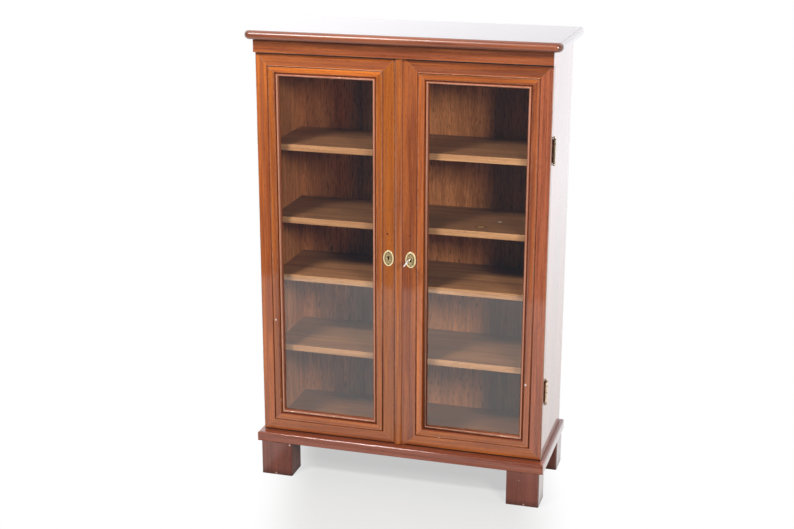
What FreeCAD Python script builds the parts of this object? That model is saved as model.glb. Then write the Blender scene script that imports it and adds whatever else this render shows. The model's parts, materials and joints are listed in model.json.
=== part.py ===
import FreeCAD, Part
import math
import os

V = FreeCAD.Vector

# A bookcase with a pair of glazed doors. Sizes are in millimetres.
# X runs along the front, Y from front to back, Z up from the floor.
# Depths are counted backwards from the front face of the closed doors.

# Carcass
CASE_W = 800.0              # over the two sides, and over the pair of doors
SIDE_T = 23.0
SIDE_D = 272.0
BOTTOM_T = 15.0
HEAD_RAIL_H = 45.0          # rails between the sides, under the top board
HEAD_RAIL_FRONT_D = 42.0
HEAD_RAIL_BACK_D = 20.0
FRIEZE_H = 34.0
FRIEZE_PROUD = 12.0         # in front of the doors
FRIEZE_LAP = 2.0            # past the sides
FRIEZE_ROUND = 2.0
TOP_T = 24.5
TOP_OVERHANG_FRONT = 26.0   # in front of the doors
TOP_OVERHANG_END = 25.0     # past the sides
TOP_OVERHANG_BACK = 13.0    # behind the sides
TOP_CORNER_R = 18.0         # of the front corners, seen from above
TOP_NOSE_FLAT = 0.5         # left between the two rounds of the edge

# Tongued back boards
BACK_BOARDS = 4
BACK_T = 10.0
BACK_REBATE = 9.0           # how far the boards reach into each side
BACK_PLAY = 0.4
TONGUE_W = 5.0
TONGUE_T = 3.4
TONGUE_PLAY = 0.3

# Loose shelves on pegs
SHELF_T = 18.0
SHELF_SETBACK = 19.0        # behind the front edges of the sides
SHELF_END_PLAY = 0.8
SHELF_BACK_PLAY = 2.0
SHELF_ROUND = 1.5
SHELF_HEIGHTS = (812.0, 608.0, 442.0, 234.0)    # tops, above the bottom board
PEG_R = 4.0
PEG_OUT = 11.0              # length under the shelf
PEG_IN = 12.0               # length in the side
PEG_PLAY = 0.1
PEG_INSET = 40.0            # from the shelf's front and back edges

# Base frame and feet
BASE_T = 27.5
BASE_MEMBER_W = 80.0
BASE_OVERHANG_FRONT = 26.0  # in front of the doors
BASE_OVERHANG_END = 12.0    # past the sides
BASE_OVERHANG_BACK = 13.0   # behind the sides
BASE_ROUND = 4.0            # of the upper edge
BASE_FOOT_ROUND = 2.0       # of the lower edge
FOOT_W = 91.0
FOOT_D = 76.0
FOOT_H = 100.0
FOOT_INSET_END = 10.0       # in from the base frame's ends
BACK_FOOT_INSET_END = 5.0
FOOT_INSET_FRONT = 2.0      # in from the base frame's front and back
FOOT_ROUND = 4.0

# Doors
DOOR_H = 1077.0
DOOR_T = 22.0
DOOR_FOOT_GAP = 2.0
DOOR_HEAD_GAP = 1.5
DOOR_BACK_GAP = 1.0
SEAM_GAP = 1.0
RAIL_FLAT = 32.0            # plain outer part of the rails
STILE_FLAT = 32.0           # and of the hinge stiles
MEETING_HALF = 67.0         # middle of the case to the frame openings
ARRIS = 1.2
QUIRK_W = 1.2
QUIRK_D = 0.8
BAND_W = 19.8               # moulded inner part of the frame
BAND_EASE = 3.2             # width of the round on its outer edge
BAND_EDGE = 1.4             # where that round ends, in front of the plain part
BAND_RISE = 1.8             # its crown, in front of the plain part
BAND_ROUND = 3.0
BAND_DROP = 1.6
ASTRAGAL_W = 20.5
ASTRAGAL_SHIFT = 3.2        # its middle, left of the middle of the case
ASTRAGAL_PROUD = 7.5
ASTRAGAL_SHOULDER = 1.5

# Glass and what holds it
BEAD_W = 10.0
BEAD_GAP = 1.8              # groove between the frame and the round
BEAD_ROUND_W = 6.2
BEAD_CROWN = 0.6            # depths behind the door front
BEAD_SHOULDER = 3.6
BEAD_FOOT = 7.0
GLASS_DEPTH = 10.0
GLASS_T = 3.0
GLASS_PLAY = 1.0
STOP_W = 8.5
STOP_T = 7.0
STOP_CHAMFER = 2.5

# Butt hinges with ball tips
HINGE_FROM_TOP = 222.0      # hinge middle below the door's top edge
HINGE_FROM_FOOT = 193.0     # hinge middle above the door's lower edge
LEAF_H = 60.0
LEAF_W = 15.0
LEAF_T = 1.7
LEAF_GAP = 0.4
LEAF_PLAY = 0.2
KNUCKLES = 5
KNUCKLE_R = 4.2
KNUCKLE_STANDOFF = 0.4
KNUCKLE_GAP = 0.3
PIN_R = 2.2
PIN_PLAY = 0.05
TIP_R = 3.6
TIP_NECK = 2.0

# Escutcheons
KEY_X = 31.0                # keyhole from the middle of the case
KEY_HEIGHT = 542.0          # above the door's lower edge
PLATE_W = 29.5
PLATE_H = 44.5
PLATE_DROP = 3.0            # its middle below the key
PLATE_T = 2.4
PLATE_RIM_W = 3.8
PLATE_RIM_D = 1.0
PLATE_OVAL_W = 3.2          # groove between the rim and the oval around the keyhole
PLATE_ROUND = 1.2
KEYHOLE_R = 3.3
KEYHOLE_SLOT_W = 3.6

# Lock on the back of the right door
LOCK_PAST_KEY = 15.5        # case beyond the key, away from the seam
LOCK_H = 52.0
LOCK_T = 12.0
LOCK_WALL = 1.5
LOCK_EDGE = 2.0             # from the door's meeting edge
LOCK_BELOW_KEY = 18.0
BOLT_H = 12.0
BOLT_T = 5.0
BOLT_PLAY = 0.2
BOLT_END_PLAY = 1.5
BOLT_THROW = 8.0
KEEPER_W = 15.0
KEEPER_WALL = 3.0
KEEPER_PLAY = 0.8
KEEPER_EDGE = 1.0

# Key
KEY_R = 2.0
KEY_TURN = 66.0             # degrees that throw the bolt
KEY_NECK = 36.0             # from the escutcheon to the bow
BIT_R = 8.5
BIT_W = 2.4
BIT_GRIP = 3.0              # how far the bit reaches into the bolt
BIT_PLAY = 0.5
TALON_PLAY = 1.1
COLLAR_R = 3.1
COLLAR_L = 1.6
BOW_HALF_H = 11.5
BOW_HALF_L = 10.0
BOW_RIM = 3.4
BOW_T = 3.0
BOW_ROUND = 0.8

# Surface bolts on the back of the left door
ROD_R = 3.5
ROD_L = 110.0
ROD_X = 42.0                # from the middle of the case
ROD_PLAY = 0.08
ROD_TRAVEL = 12.0
ROD_CLEAR = 2.0             # end of the drawn rod to its keeper
GUIDE_W = 26.0
GUIDE_L = 96.0
GUIDE_T = 1.6
ROD_STANDOFF = 3.0          # rod above the guide plate
BRIDGE_L = 14.0
BRIDGE_WALL = 1.6
GUIDE_FROM_END = 8.0
KNOB_R = 3.0
KNOB_L = 6.0
SOCKET_PLAY = 0.8
SOCKET_D = 16.0
SOCKET_PLATE = 1.5
SOCKET_PLATE_W = 26.0
SOCKET_PLATE_D = 14.0

# Planes and levels worked out from the sizes above
BASE_TOP = FOOT_H + BASE_T
DOOR_FOOT = BASE_TOP + DOOR_FOOT_GAP
DOOR_HEAD = DOOR_FOOT + DOOR_H
FRIEZE_FOOT = DOOR_HEAD + DOOR_HEAD_GAP
CASE_HEAD = FRIEZE_FOOT + FRIEZE_H
BOTTOM_TOP = BASE_TOP + BOTTOM_T
SIDE_FRONT = DOOR_T + DOOR_BACK_GAP
SIDE_BACK = SIDE_FRONT + SIDE_D
BACK_FACE = SIDE_BACK - BACK_T
HALF_W = CASE_W / 2
INNER_W = HALF_W - SIDE_T
SHELF_FRONT = SIDE_FRONT + SHELF_SETBACK
SHELF_BACK = BACK_FACE - SHELF_BACK_PLAY
MOULD_W = QUIRK_W + BAND_W
RIGHT_EDGE = -ASTRAGAL_SHIFT - ASTRAGAL_W / 2
LEFT_EDGE = RIGHT_EDGE - SEAM_GAP
AXIS_X = HALF_W + KNUCKLE_R + KNUCKLE_STANDOFF
AXIS_DEPTH = DOOR_T + DOOR_BACK_GAP / 2
HINGE_LEVELS = {"upper": DOOR_HEAD - HINGE_FROM_TOP, "lower": DOOR_FOOT + HINGE_FROM_FOOT}
KEY_Z = DOOR_FOOT + KEY_HEIGHT
PLATE_Z = KEY_Z - PLATE_DROP
KEY_REST = KEY_TURN / 2
KEY_REACH = PLATE_T + KEY_NECK + 2 * BOW_HALF_L
BOLT_FOOT = KEY_Z + BIT_R - BIT_GRIP
BOLT_DEPTH = DOOR_T + (LOCK_T - BOLT_T) / 2
LOCK_X = RIGHT_EDGE + LOCK_EDGE
LOCK_END = KEY_X + LOCK_PAST_KEY
ROD_DEPTH = DOOR_T + GUIDE_T + ROD_STANDOFF + ROD_R
HEAD_RAIL_FOOT = CASE_HEAD - HEAD_RAIL_H

# The origin lies on the floor under the middle of the whole object, whose front is the key or the top board.
FRONT_REACH = max(KEY_REACH, TOP_OVERHANG_FRONT, BASE_OVERHANG_FRONT)
BACK_REACH = SIDE_BACK + max(TOP_OVERHANG_BACK, BASE_OVERHANG_BACK)
DOOR_FRONT_Y = (FRONT_REACH - BACK_REACH) / 2


def at(x, depth, z):
    """Point at a depth behind the door front."""
    return V(x, DOOR_FRONT_Y + depth, z)


def block(x_a, x_b, depth_a, depth_b, z_a, z_b):
    """Box between two X values, two depths and two heights, in any order."""
    low = at(min(x_a, x_b), min(depth_a, depth_b), min(z_a, z_b))
    return Part.makeBox(abs(x_b - x_a), abs(depth_b - depth_a), abs(z_b - z_a), low)


def outlined(start, steps, place):
    """Face round an outline: a step of one point is a straight line, of two an arc through the first."""
    edges = []
    here = place(*start)
    for step in steps:
        there = place(*step[-1])
        if len(step) == 2:
            edges.append(Part.Arc(here, place(*step[0]), there).toShape())
        else:
            edges.append(Part.LineSegment(here, there).toShape())
        here = there
    return Part.Face(Part.Wire(edges))


def plate_of(points, place, along):
    """Prism of a straight-sided outline."""
    steps = [(point,) for point in points[1:] + points[:1]]
    return outlined(points[0], steps, place).extrude(along)


def rounded(shape, radius, picks):
    """Shape with the straight edges rounded whose middles satisfy picks."""
    edges = [edge for edge in shape.Edges if picks(edge.CenterOfMass)]
    return shape.makeFillet(radius, edges)


def quarter_point(start, end):
    """Point half way round a quarter ellipse that leaves start level in the first value."""
    lean = math.sin(math.pi / 4)
    return (start[0] + (end[0] - start[0]) * lean, start[1] + (end[1] - start[1]) * (1 - lean))


def top_board():
    """Board with rounded front corners and a half-round edge along the front and both ends."""
    end = HALF_W + TOP_OVERHANG_END
    front = -TOP_OVERHANG_FRONT
    back = SIDE_BACK + TOP_OVERHANG_BACK
    lean = TOP_CORNER_R * (1 - math.sin(math.pi / 4))
    board = outlined(
        (-end, back),
        [((-end, front + TOP_CORNER_R),), ((lean - end, front + lean), (TOP_CORNER_R - end, front)),
         ((end - TOP_CORNER_R, front),), ((end - lean, front + lean), (end, front + TOP_CORNER_R)),
         ((end, back),), ((-end, back),)],
        lambda x, depth: at(x, depth, CASE_HEAD)).extrude(V(0, 0, TOP_T))
    level = CASE_HEAD + TOP_T / 2
    rear = DOOR_FRONT_Y + back
    return rounded(board, (TOP_T - TOP_NOSE_FLAT) / 2,
                   lambda middle: abs(middle.z - level) > 1 and middle.y < rear - 1)


def frieze_rail():
    """Rail over the doors, planted on the front edges of the sides."""
    end = HALF_W + FRIEZE_LAP
    rail = block(-end, end, -FRIEZE_PROUD, SIDE_FRONT, FRIEZE_FOOT, CASE_HEAD)
    front = DOOR_FRONT_Y - FRIEZE_PROUD
    return rounded(rail, FRIEZE_ROUND,
                   lambda middle: abs(middle.y - front) < 0.01 and middle.z < CASE_HEAD - 0.01)


def peg_places():
    """Height and depth of the pegs at one end of the shelves."""
    return [(BOTTOM_TOP + height - SHELF_T - PEG_R - PEG_PLAY, depth)
            for height in SHELF_HEIGHTS
            for depth in (SHELF_FRONT + PEG_INSET, SHELF_BACK - PEG_INSET)]


def side(hand):
    """Side board with a rebate for the back, peg holes and hinge mortises; hand is -1 left, 1 right."""
    board = block(hand * INNER_W, hand * HALF_W, SIDE_FRONT, SIDE_BACK, BASE_TOP, CASE_HEAD)
    cuts = [block(hand * INNER_W, hand * (INNER_W + BACK_REBATE), BACK_FACE, SIDE_BACK, BASE_TOP, CASE_HEAD)]
    for z, depth in peg_places():
        cuts.append(Part.makeCylinder(PEG_R + PEG_PLAY, PEG_IN, at(hand * INNER_W, depth, z), V(hand, 0, 0)))
    for level in HINGE_LEVELS.values():
        cuts.append(leaf_mortise(hand, level, SIDE_FRONT, AXIS_DEPTH + LEAF_GAP / 2 + LEAF_T))
    return board.cut(cuts)


def shelf_pegs():
    """Round pegs that carry the shelves."""
    pegs = []
    for hand in (-1, 1):
        for z, depth in peg_places():
            foot = at(hand * (INNER_W - PEG_OUT), depth, z)
            pegs.append(Part.makeCylinder(PEG_R, PEG_OUT + PEG_IN, foot, V(hand, 0, 0)))
    return Part.makeCompound(pegs)


def shelf(height):
    """Loose shelf with an eased front edge; height is its top above the bottom board."""
    end = INNER_W - SHELF_END_PLAY
    top = BOTTOM_TOP + height
    board = block(-end, end, SHELF_FRONT, SHELF_BACK, top - SHELF_T, top)
    front = DOOR_FRONT_Y + SHELF_FRONT
    return rounded(board, SHELF_ROUND, lambda middle: abs(middle.y - front) < 0.01 and abs(middle.x) < 1)


def bottom_board():
    """Bottom of the carcass, with the socket of the left door's lower bolt."""
    board = block(-INNER_W, INNER_W, SIDE_FRONT, BACK_FACE, BASE_TOP, BOTTOM_TOP)
    return board.cut(bolt_mortise(BASE_TOP, BOTTOM_TOP))


def head_rail_front():
    """Rail behind the frieze, which stops the doors and holds the socket of the left door's upper bolt."""
    rail = block(-INNER_W, INNER_W, SIDE_FRONT, SIDE_FRONT + HEAD_RAIL_FRONT_D, HEAD_RAIL_FOOT, CASE_HEAD)
    return rail.cut(bolt_mortise(HEAD_RAIL_FOOT, HEAD_RAIL_FOOT + SOCKET_D))


def head_rail_back():
    """Rail at the head of the back boards."""
    return block(-INNER_W, INNER_W, BACK_FACE - HEAD_RAIL_BACK_D, BACK_FACE, HEAD_RAIL_FOOT, CASE_HEAD)


def back_board(number):
    """Upright back board with a tongue on its right edge and a groove in its left, counted from 0."""
    reach = INNER_W + BACK_REBATE - BACK_PLAY
    pitch = 2 * reach / BACK_BOARDS
    left = -reach + number * pitch
    right = left + pitch
    middle = BACK_FACE + BACK_T / 2
    if number < BACK_BOARDS - 1:
        right -= BACK_PLAY
    board = block(left, right, BACK_FACE, SIDE_BACK, BASE_TOP, CASE_HEAD)
    if number < BACK_BOARDS - 1:
        board = board.fuse(block(right, right + TONGUE_W, middle - TONGUE_T / 2, middle + TONGUE_T / 2,
                                 BASE_TOP, CASE_HEAD)).removeSplitter()
    if number > 0:
        half = TONGUE_T / 2 + TONGUE_PLAY
        board = board.cut(block(left, left + TONGUE_W + TONGUE_PLAY, middle - half, middle + half,
                                BASE_TOP, CASE_HEAD))
    return board


def base_member(side_of_base):
    """Moulded member of the base frame, mitred at the front corners."""
    end = HALF_W + BASE_OVERHANG_END
    back = SIDE_BACK + BASE_OVERHANG_BACK
    inner_end = end - BASE_MEMBER_W
    inner_front = BASE_MEMBER_W - BASE_OVERHANG_FRONT
    eased = quarter_point_in(BASE_ROUND)
    eased_foot = quarter_point_in(BASE_FOOT_ROUND)
    start = (0, FOOT_H + BASE_FOOT_ROUND)
    steps = [((0, BASE_TOP - BASE_ROUND),), ((eased[0], BASE_TOP - eased[1]), (BASE_ROUND, BASE_TOP)),
             ((BASE_MEMBER_W, BASE_TOP),), ((BASE_MEMBER_W, FOOT_H),), ((BASE_FOOT_ROUND, FOOT_H),),
             ((eased_foot[0], FOOT_H + eased_foot[1]), start)]
    if side_of_base == "front":
        strip = outlined(start, steps, lambda inset, z: at(-end, inset - BASE_OVERHANG_FRONT, z))
        strip = strip.extrude(V(2 * end, 0, 0))
        corners = [(-end, -BASE_OVERHANG_FRONT), (end, -BASE_OVERHANG_FRONT),
                   (inner_end, inner_front), (-inner_end, inner_front)]
    else:
        hand = -1 if side_of_base == "left" else 1
        strip = outlined(start, steps, lambda inset, z: at(hand * (end - inset), -BASE_OVERHANG_FRONT, z))
        strip = strip.extrude(V(0, back + BASE_OVERHANG_FRONT, 0))
        corners = [(hand * end, -BASE_OVERHANG_FRONT), (hand * inner_end, inner_front),
                   (hand * inner_end, back), (hand * end, back)]
    return strip.common(plate_of(corners, lambda x, depth: at(x, depth, FOOT_H), V(0, 0, BASE_T)))


def base_back_rail():
    """Plain member between the base frame's ends at the back."""
    end = HALF_W + BASE_OVERHANG_END - BASE_MEMBER_W
    back = SIDE_BACK + BASE_OVERHANG_BACK
    return block(-end, end, back - BASE_MEMBER_W, back, FOOT_H, BASE_TOP)


def foot(hand, at_front):
    """Square block foot with eased upright edges."""
    outer = HALF_W + BASE_OVERHANG_END
    if at_front:
        outer -= FOOT_INSET_END
        near = FOOT_INSET_FRONT - BASE_OVERHANG_FRONT
    else:
        outer -= BACK_FOOT_INSET_END
        near = SIDE_BACK + BASE_OVERHANG_BACK - FOOT_INSET_FRONT - FOOT_D
    cube = block(hand * (outer - FOOT_W), hand * outer, near, near + FOOT_D, 0, FOOT_H)
    return rounded(cube, FOOT_ROUND, lambda middle: abs(middle.z - FOOT_H / 2) < 0.01)


def mitred_strips(outer, inner, section):
    """Four strips round a rectangle, mitred at the inner corners.

    Both rectangles are (left, right, foot, head), and section(width, place) draws a strip's profile,
    with place taking a distance in from the outer edge and a depth.
    """
    left, right, low, high = outer
    in_left, in_right, in_low, in_high = inner
    far = (right - left) - (in_right - in_left) + (high - low) - (in_high - in_low)
    plans = {
        "left": (in_left - left, lambda u, depth: at(left + u, depth, low), V(0, 0, high - low),
                 [(in_left, in_low), (in_left, in_high), (in_left - far, in_high + far),
                  (in_left - far, in_low - far)]),
        "right": (right - in_right, lambda u, depth: at(right - u, depth, low), V(0, 0, high - low),
                  [(in_right, in_low), (in_right, in_high), (in_right + far, in_high + far),
                   (in_right + far, in_low - far)]),
        "foot": (in_low - low, lambda u, depth: at(left, depth, low + u), V(right - left, 0, 0),
                 [(in_left, in_low), (in_right, in_low), (in_right + far, in_low - far),
                  (in_left - far, in_low - far)]),
        "head": (high - in_high, lambda u, depth: at(left, depth, high - u), V(right - left, 0, 0),
                 [(in_left, in_high), (in_right, in_high), (in_right + far, in_high + far),
                  (in_left - far, in_high + far)]),
    }
    strips = {}
    for name, (width, place, along, corners) in plans.items():
        wedge = plate_of(corners, lambda x, z: at(x, -DOOR_T, z), V(0, 3 * DOOR_T, 0))
        strips[name] = section(width, place).extrude(along).common(wedge)
    return strips


def member_section(width, place):
    """Profile of a door frame member: plain part, quirk, and a raised band with rounded edges."""
    flat = width - MOULD_W
    foot_of_band = (flat + QUIRK_W, 0)
    top_of_ease = (flat + QUIRK_W + BAND_EASE, -BAND_EDGE)
    turn = quarter_point(foot_of_band[::-1], top_of_ease[::-1])
    crown = (width - BAND_ROUND, -BAND_RISE)
    edge = (width, BAND_DROP)
    return outlined(
        (0, DOOR_T),
        [((0, ARRIS),), (quarter_point_in(ARRIS), (ARRIS, 0)), ((flat, 0),),
         ((flat + QUIRK_W / 2, QUIRK_D),), (foot_of_band,), (turn[::-1], top_of_ease), (crown,),
         (quarter_point(crown, edge), edge), ((width, DOOR_T),), ((0, DOOR_T),)],
        place)


def quarter_point_in(radius):
    """Middle of the round on a corner at the origin of an outline."""
    inset = radius * (1 - math.sin(math.pi / 4))
    return (inset, inset)


def bead_section(width, place):
    """Profile of the sight bead: a round that stands between two grooves, in front of the glass."""
    far = BEAD_GAP + BEAD_ROUND_W
    return outlined(
        (0, GLASS_DEPTH),
        [((0, BEAD_FOOT),), ((BEAD_GAP, BEAD_FOOT),), ((BEAD_GAP, BEAD_SHOULDER),),
         (((BEAD_GAP + far) / 2, BEAD_CROWN), (far, BEAD_SHOULDER)), ((far, BEAD_FOOT),),
         ((width, BEAD_FOOT),), ((width, GLASS_DEPTH),), ((0, GLASS_DEPTH),)],
        place)


def stop_section(width, place):
    """Profile of the strip that holds the glass from behind."""
    near = GLASS_DEPTH + GLASS_T
    far = near + STOP_T
    return outlined(
        (0, near),
        [((width, near),), ((width, far - STOP_CHAMFER),), ((width - STOP_CHAMFER, far),),
         ((0, far),), ((0, near),)],
        place)


def door_rects(hand):
    """Outer edge, frame opening and sight edge of a door, each (left, right, foot, head)."""
    hinge = HALF_W - STILE_FLAT - MOULD_W
    foot_edge = DOOR_FOOT + RAIL_FLAT + MOULD_W
    head_edge = DOOR_HEAD - RAIL_FLAT - MOULD_W
    if hand < 0:
        outer = (-HALF_W, LEFT_EDGE, DOOR_FOOT, DOOR_HEAD)
        opening = (-hinge, -MEETING_HALF, foot_edge, head_edge)
    else:
        outer = (RIGHT_EDGE, HALF_W, DOOR_FOOT, DOOR_HEAD)
        opening = (MEETING_HALF, hinge, foot_edge, head_edge)
    return outer, opening


def shrunk(rect, margin):
    """Rectangle moved in by a margin on every side."""
    left, right, low, high = rect
    return (left + margin, right - margin, low + margin, high - margin)


def door_frame(hand):
    """The four moulded members of a door, with hinge mortises and, on the right, the keyhole."""
    outer, opening = door_rects(hand)
    members = mitred_strips(outer, opening, member_section)
    hinge_stile = "left" if hand < 0 else "right"
    meeting_stile = "right" if hand < 0 else "left"
    cuts = [leaf_mortise(hand, level, AXIS_DEPTH - LEAF_GAP / 2 - LEAF_T, DOOR_T)
            for level in HINGE_LEVELS.values()]
    members[hinge_stile] = members[hinge_stile].cut(cuts)
    if hand > 0:
        members[meeting_stile] = members[meeting_stile].cut(keyhole(KEY_X, 0, DOOR_T))
    return {"hinge_stile": members[hinge_stile], "meeting_stile": members[meeting_stile],
            "bottom_rail": members["foot"], "top_rail": members["head"]}


def sight_bead(hand):
    """Four round beads that frame the glass in front."""
    opening = door_rects(hand)[1]
    return Part.makeCompound(list(mitred_strips(opening, shrunk(opening, BEAD_W), bead_section).values()))


def glazing_stops(hand):
    """Four strips that hold the glass from behind."""
    opening = door_rects(hand)[1]
    return Part.makeCompound(list(mitred_strips(opening, shrunk(opening, STOP_W), stop_section).values()))


def glass_pane(hand):
    """Pane between the bead and the stops."""
    left, right, low, high = shrunk(door_rects(hand)[1], GLASS_PLAY)
    return block(left, right, GLASS_DEPTH, GLASS_DEPTH + GLASS_T, low, high)


def astragal():
    """Round strip on the right door's meeting stile, with a rounded lower end."""
    half = ASTRAGAL_W / 2
    middle = RIGHT_EDGE + half
    strip = outlined(
        (-half, 0),
        [((-half, -ASTRAGAL_SHOULDER),), ((0, -ASTRAGAL_PROUD), (half, -ASTRAGAL_SHOULDER)),
         ((half, 0),), ((-half, 0),)],
        lambda x, depth: at(middle + x, depth, DOOR_FOOT)).extrude(V(0, 0, DOOR_H))
    tongue = outlined(
        (-half, DOOR_HEAD),
        [((-half, DOOR_FOOT + half),), ((0, DOOR_FOOT), (half, DOOR_FOOT + half)),
         ((half, DOOR_HEAD),), ((-half, DOOR_HEAD),)],
        lambda x, z: at(middle + x, -ASTRAGAL_PROUD, z)).extrude(V(0, ASTRAGAL_PROUD, 0))
    return strip.common(tongue)


def leaf_mortise(hand, level, depth_a, depth_b):
    """Pocket for a hinge leaf, open at the outer edge."""
    half = LEAF_H / 2 + LEAF_PLAY
    inner = HALF_W - LEAF_W - LEAF_PLAY
    return block(hand * inner, hand * HALF_W, depth_a, depth_b, level - half, level + half)


def hinge_leaf(hand, level, on_door):
    """Leaf of a butt hinge with its knuckles; the door's leaf has the even ones of the row."""
    foot_z = level - LEAF_H / 2
    near = AXIS_DEPTH - LEAF_GAP / 2 - LEAF_T if on_door else AXIS_DEPTH + LEAF_GAP / 2
    edge = AXIS_X - KNUCKLE_R - KNUCKLE_STANDOFF
    leaf = block(hand * (HALF_W - LEAF_W), hand * edge, near, near + LEAF_T, foot_z, foot_z + LEAF_H)
    pitch = LEAF_H / KNUCKLES
    first = 1 if on_door else 0
    for number in range(first, KNUCKLES, 2):
        low = foot_z + number * pitch + (KNUCKLE_GAP / 2 if number > 0 else 0)
        high = foot_z + (number + 1) * pitch - (KNUCKLE_GAP / 2 if number < KNUCKLES - 1 else 0)
        leaf = leaf.fuse([block(hand * edge, hand * AXIS_X, near, near + LEAF_T, low, high),
                          Part.makeCylinder(KNUCKLE_R, high - low, at(hand * AXIS_X, AXIS_DEPTH, low))])
    bore = Part.makeCylinder(PIN_R + PIN_PLAY, LEAF_H, at(hand * AXIS_X, AXIS_DEPTH, foot_z))
    return leaf.cut(bore).removeSplitter()


def hinge_pin(hand, level):
    """Pin with a ball on each end."""
    half = LEAF_H / 2 + KNUCKLE_GAP
    low = at(hand * AXIS_X, AXIS_DEPTH, level - half - TIP_NECK)
    pin = Part.makeCylinder(PIN_R, 2 * (half + TIP_NECK), low)
    sink = math.sqrt(TIP_R ** 2 - PIN_R ** 2)
    tips = []
    for way in (-1, 1):
        collar = at(hand * AXIS_X, AXIS_DEPTH, level + way * half)
        tips.append(Part.makeCylinder(KNUCKLE_R, TIP_NECK / 2, collar, V(0, 0, way)))
        tips.append(Part.makeSphere(TIP_R, at(hand * AXIS_X, AXIS_DEPTH, level + way * (half + TIP_NECK + sink))))
    return pin.fuse(tips).removeSplitter()


def hinge_pins():
    """The pins of all four hinges."""
    return Part.makeCompound([hinge_pin(hand, level) for hand in (-1, 1) for level in HINGE_LEVELS.values()])


def oval(x, half_w, half_h, depth, thickness):
    """Upright oval plate at an escutcheon's place, from a depth backwards."""
    curve = Part.Ellipse(at(x, depth, PLATE_Z + half_h), at(x + half_w, depth, PLATE_Z), at(x, depth, PLATE_Z))
    return Part.Face(Part.Wire([curve.toShape()])).extrude(V(0, thickness, 0))


def keyhole(x, depth_a, depth_b):
    """Cutter for a keyhole: a round for the shank and a slot below it for the bit."""
    long = depth_b - depth_a
    barrel = Part.makeCylinder(KEYHOLE_R, long, at(x, depth_a, KEY_Z), V(0, 1, 0))
    half = KEYHOLE_SLOT_W / 2
    return barrel.fuse(block(x - half, x + half, depth_a, depth_b, KEY_Z - BIT_R - BIT_PLAY, KEY_Z))


def escutcheon(x):
    """Oval plate with a raised rim, and a raised oval about the keyhole."""
    half_w = PLATE_W / 2
    half_h = PLATE_H / 2
    plate = oval(x, half_w, half_h, -PLATE_T, PLATE_T)
    front = DOOR_FRONT_Y - PLATE_T
    plate = rounded(plate, PLATE_ROUND, lambda middle: abs(middle.y - front) < 0.01)
    groove = oval(x, half_w - PLATE_RIM_W, half_h - PLATE_RIM_W, -PLATE_T, PLATE_RIM_D)
    island = oval(x, half_w - PLATE_RIM_W - PLATE_OVAL_W, half_h - PLATE_RIM_W - PLATE_OVAL_W,
                  -PLATE_T, PLATE_RIM_D)
    return plate.cut(groove.cut(island)).cut(keyhole(x, -PLATE_T, 0))


def lock_case():
    """Sheet-metal lock case: a box open inside, with a slot for the bolt and holes for the key."""
    low = KEY_Z - LOCK_BELOW_KEY
    high = low + LOCK_H
    shell = block(LOCK_X, LOCK_END, DOOR_T, DOOR_T + LOCK_T, low, high)
    inside = block(LOCK_X + LOCK_WALL, LOCK_END - LOCK_WALL, DOOR_T + LOCK_WALL,
                   DOOR_T + LOCK_T - LOCK_WALL, low + LOCK_WALL, high - LOCK_WALL)
    slot = block(LOCK_X, LOCK_X + LOCK_WALL, BOLT_DEPTH - BOLT_PLAY, BOLT_DEPTH + BOLT_T + BOLT_PLAY,
                 BOLT_FOOT - BOLT_PLAY, BOLT_FOOT + BOLT_H + BOLT_PLAY)
    pivot = Part.makeCylinder(KEY_R + PIN_PLAY, LOCK_WALL, at(KEY_X, DOOR_T + LOCK_T - LOCK_WALL, KEY_Z),
                              V(0, 1, 0))
    return shell.cut([inside, slot, pivot, keyhole(KEY_X, DOOR_T, DOOR_T + LOCK_WALL)])


def lock_bolt():
    """Bolt of the lock, drawn back, with the notch that the key's bit moves it by."""
    end = LOCK_END - LOCK_WALL - BOLT_END_PLAY
    bar = block(LOCK_X, end, BOLT_DEPTH, BOLT_DEPTH + BOLT_T, BOLT_FOOT, BOLT_FOOT + BOLT_H)
    middle = KEY_X + BOLT_THROW / 2
    half = BIT_W / 2 + TALON_PLAY
    notch = block(middle - half, middle + half, BOLT_DEPTH, BOLT_DEPTH + BOLT_T,
                  BOLT_FOOT, KEY_Z + BIT_R + BIT_PLAY)
    return bar.cut(notch)


def key():
    """Key with an oval ring bow, turned so that its bit stands in the bolt's notch."""
    back = DOOR_T + LOCK_T
    front = -PLATE_T - KEY_NECK
    shank = Part.makeCylinder(KEY_R, back - front, at(KEY_X, front, KEY_Z), V(0, 1, 0))
    collar = Part.makeCylinder(COLLAR_R, COLLAR_L, at(KEY_X, front + BOW_RIM, KEY_Z), V(0, 1, 0))
    bit = block(KEY_X - BIT_W / 2, KEY_X + BIT_W / 2, BOLT_DEPTH + BIT_PLAY, BOLT_DEPTH + BOLT_T - BIT_PLAY,
                KEY_Z, KEY_Z + BIT_R)
    centre = front - BOW_HALF_L
    ring = bow_oval(BOW_HALF_H, BOW_HALF_L, centre).cut(
        bow_oval(BOW_HALF_H - BOW_RIM, BOW_HALF_L - BOW_RIM, centre))
    side_x = KEY_X + BOW_T / 2
    ring = rounded(ring, BOW_ROUND, lambda middle: abs(abs(middle.x - KEY_X) - (side_x - KEY_X)) < 0.01)
    stem = Part.makeCylinder(KEY_R, BOW_RIM, at(KEY_X, front - BOW_RIM / 2, KEY_Z), V(0, 1, 0))
    whole = shank.fuse([collar, bit, ring, stem])
    whole.rotate(at(KEY_X, 0, KEY_Z), V(0, 1, 0), KEY_REST)
    return whole


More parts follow.
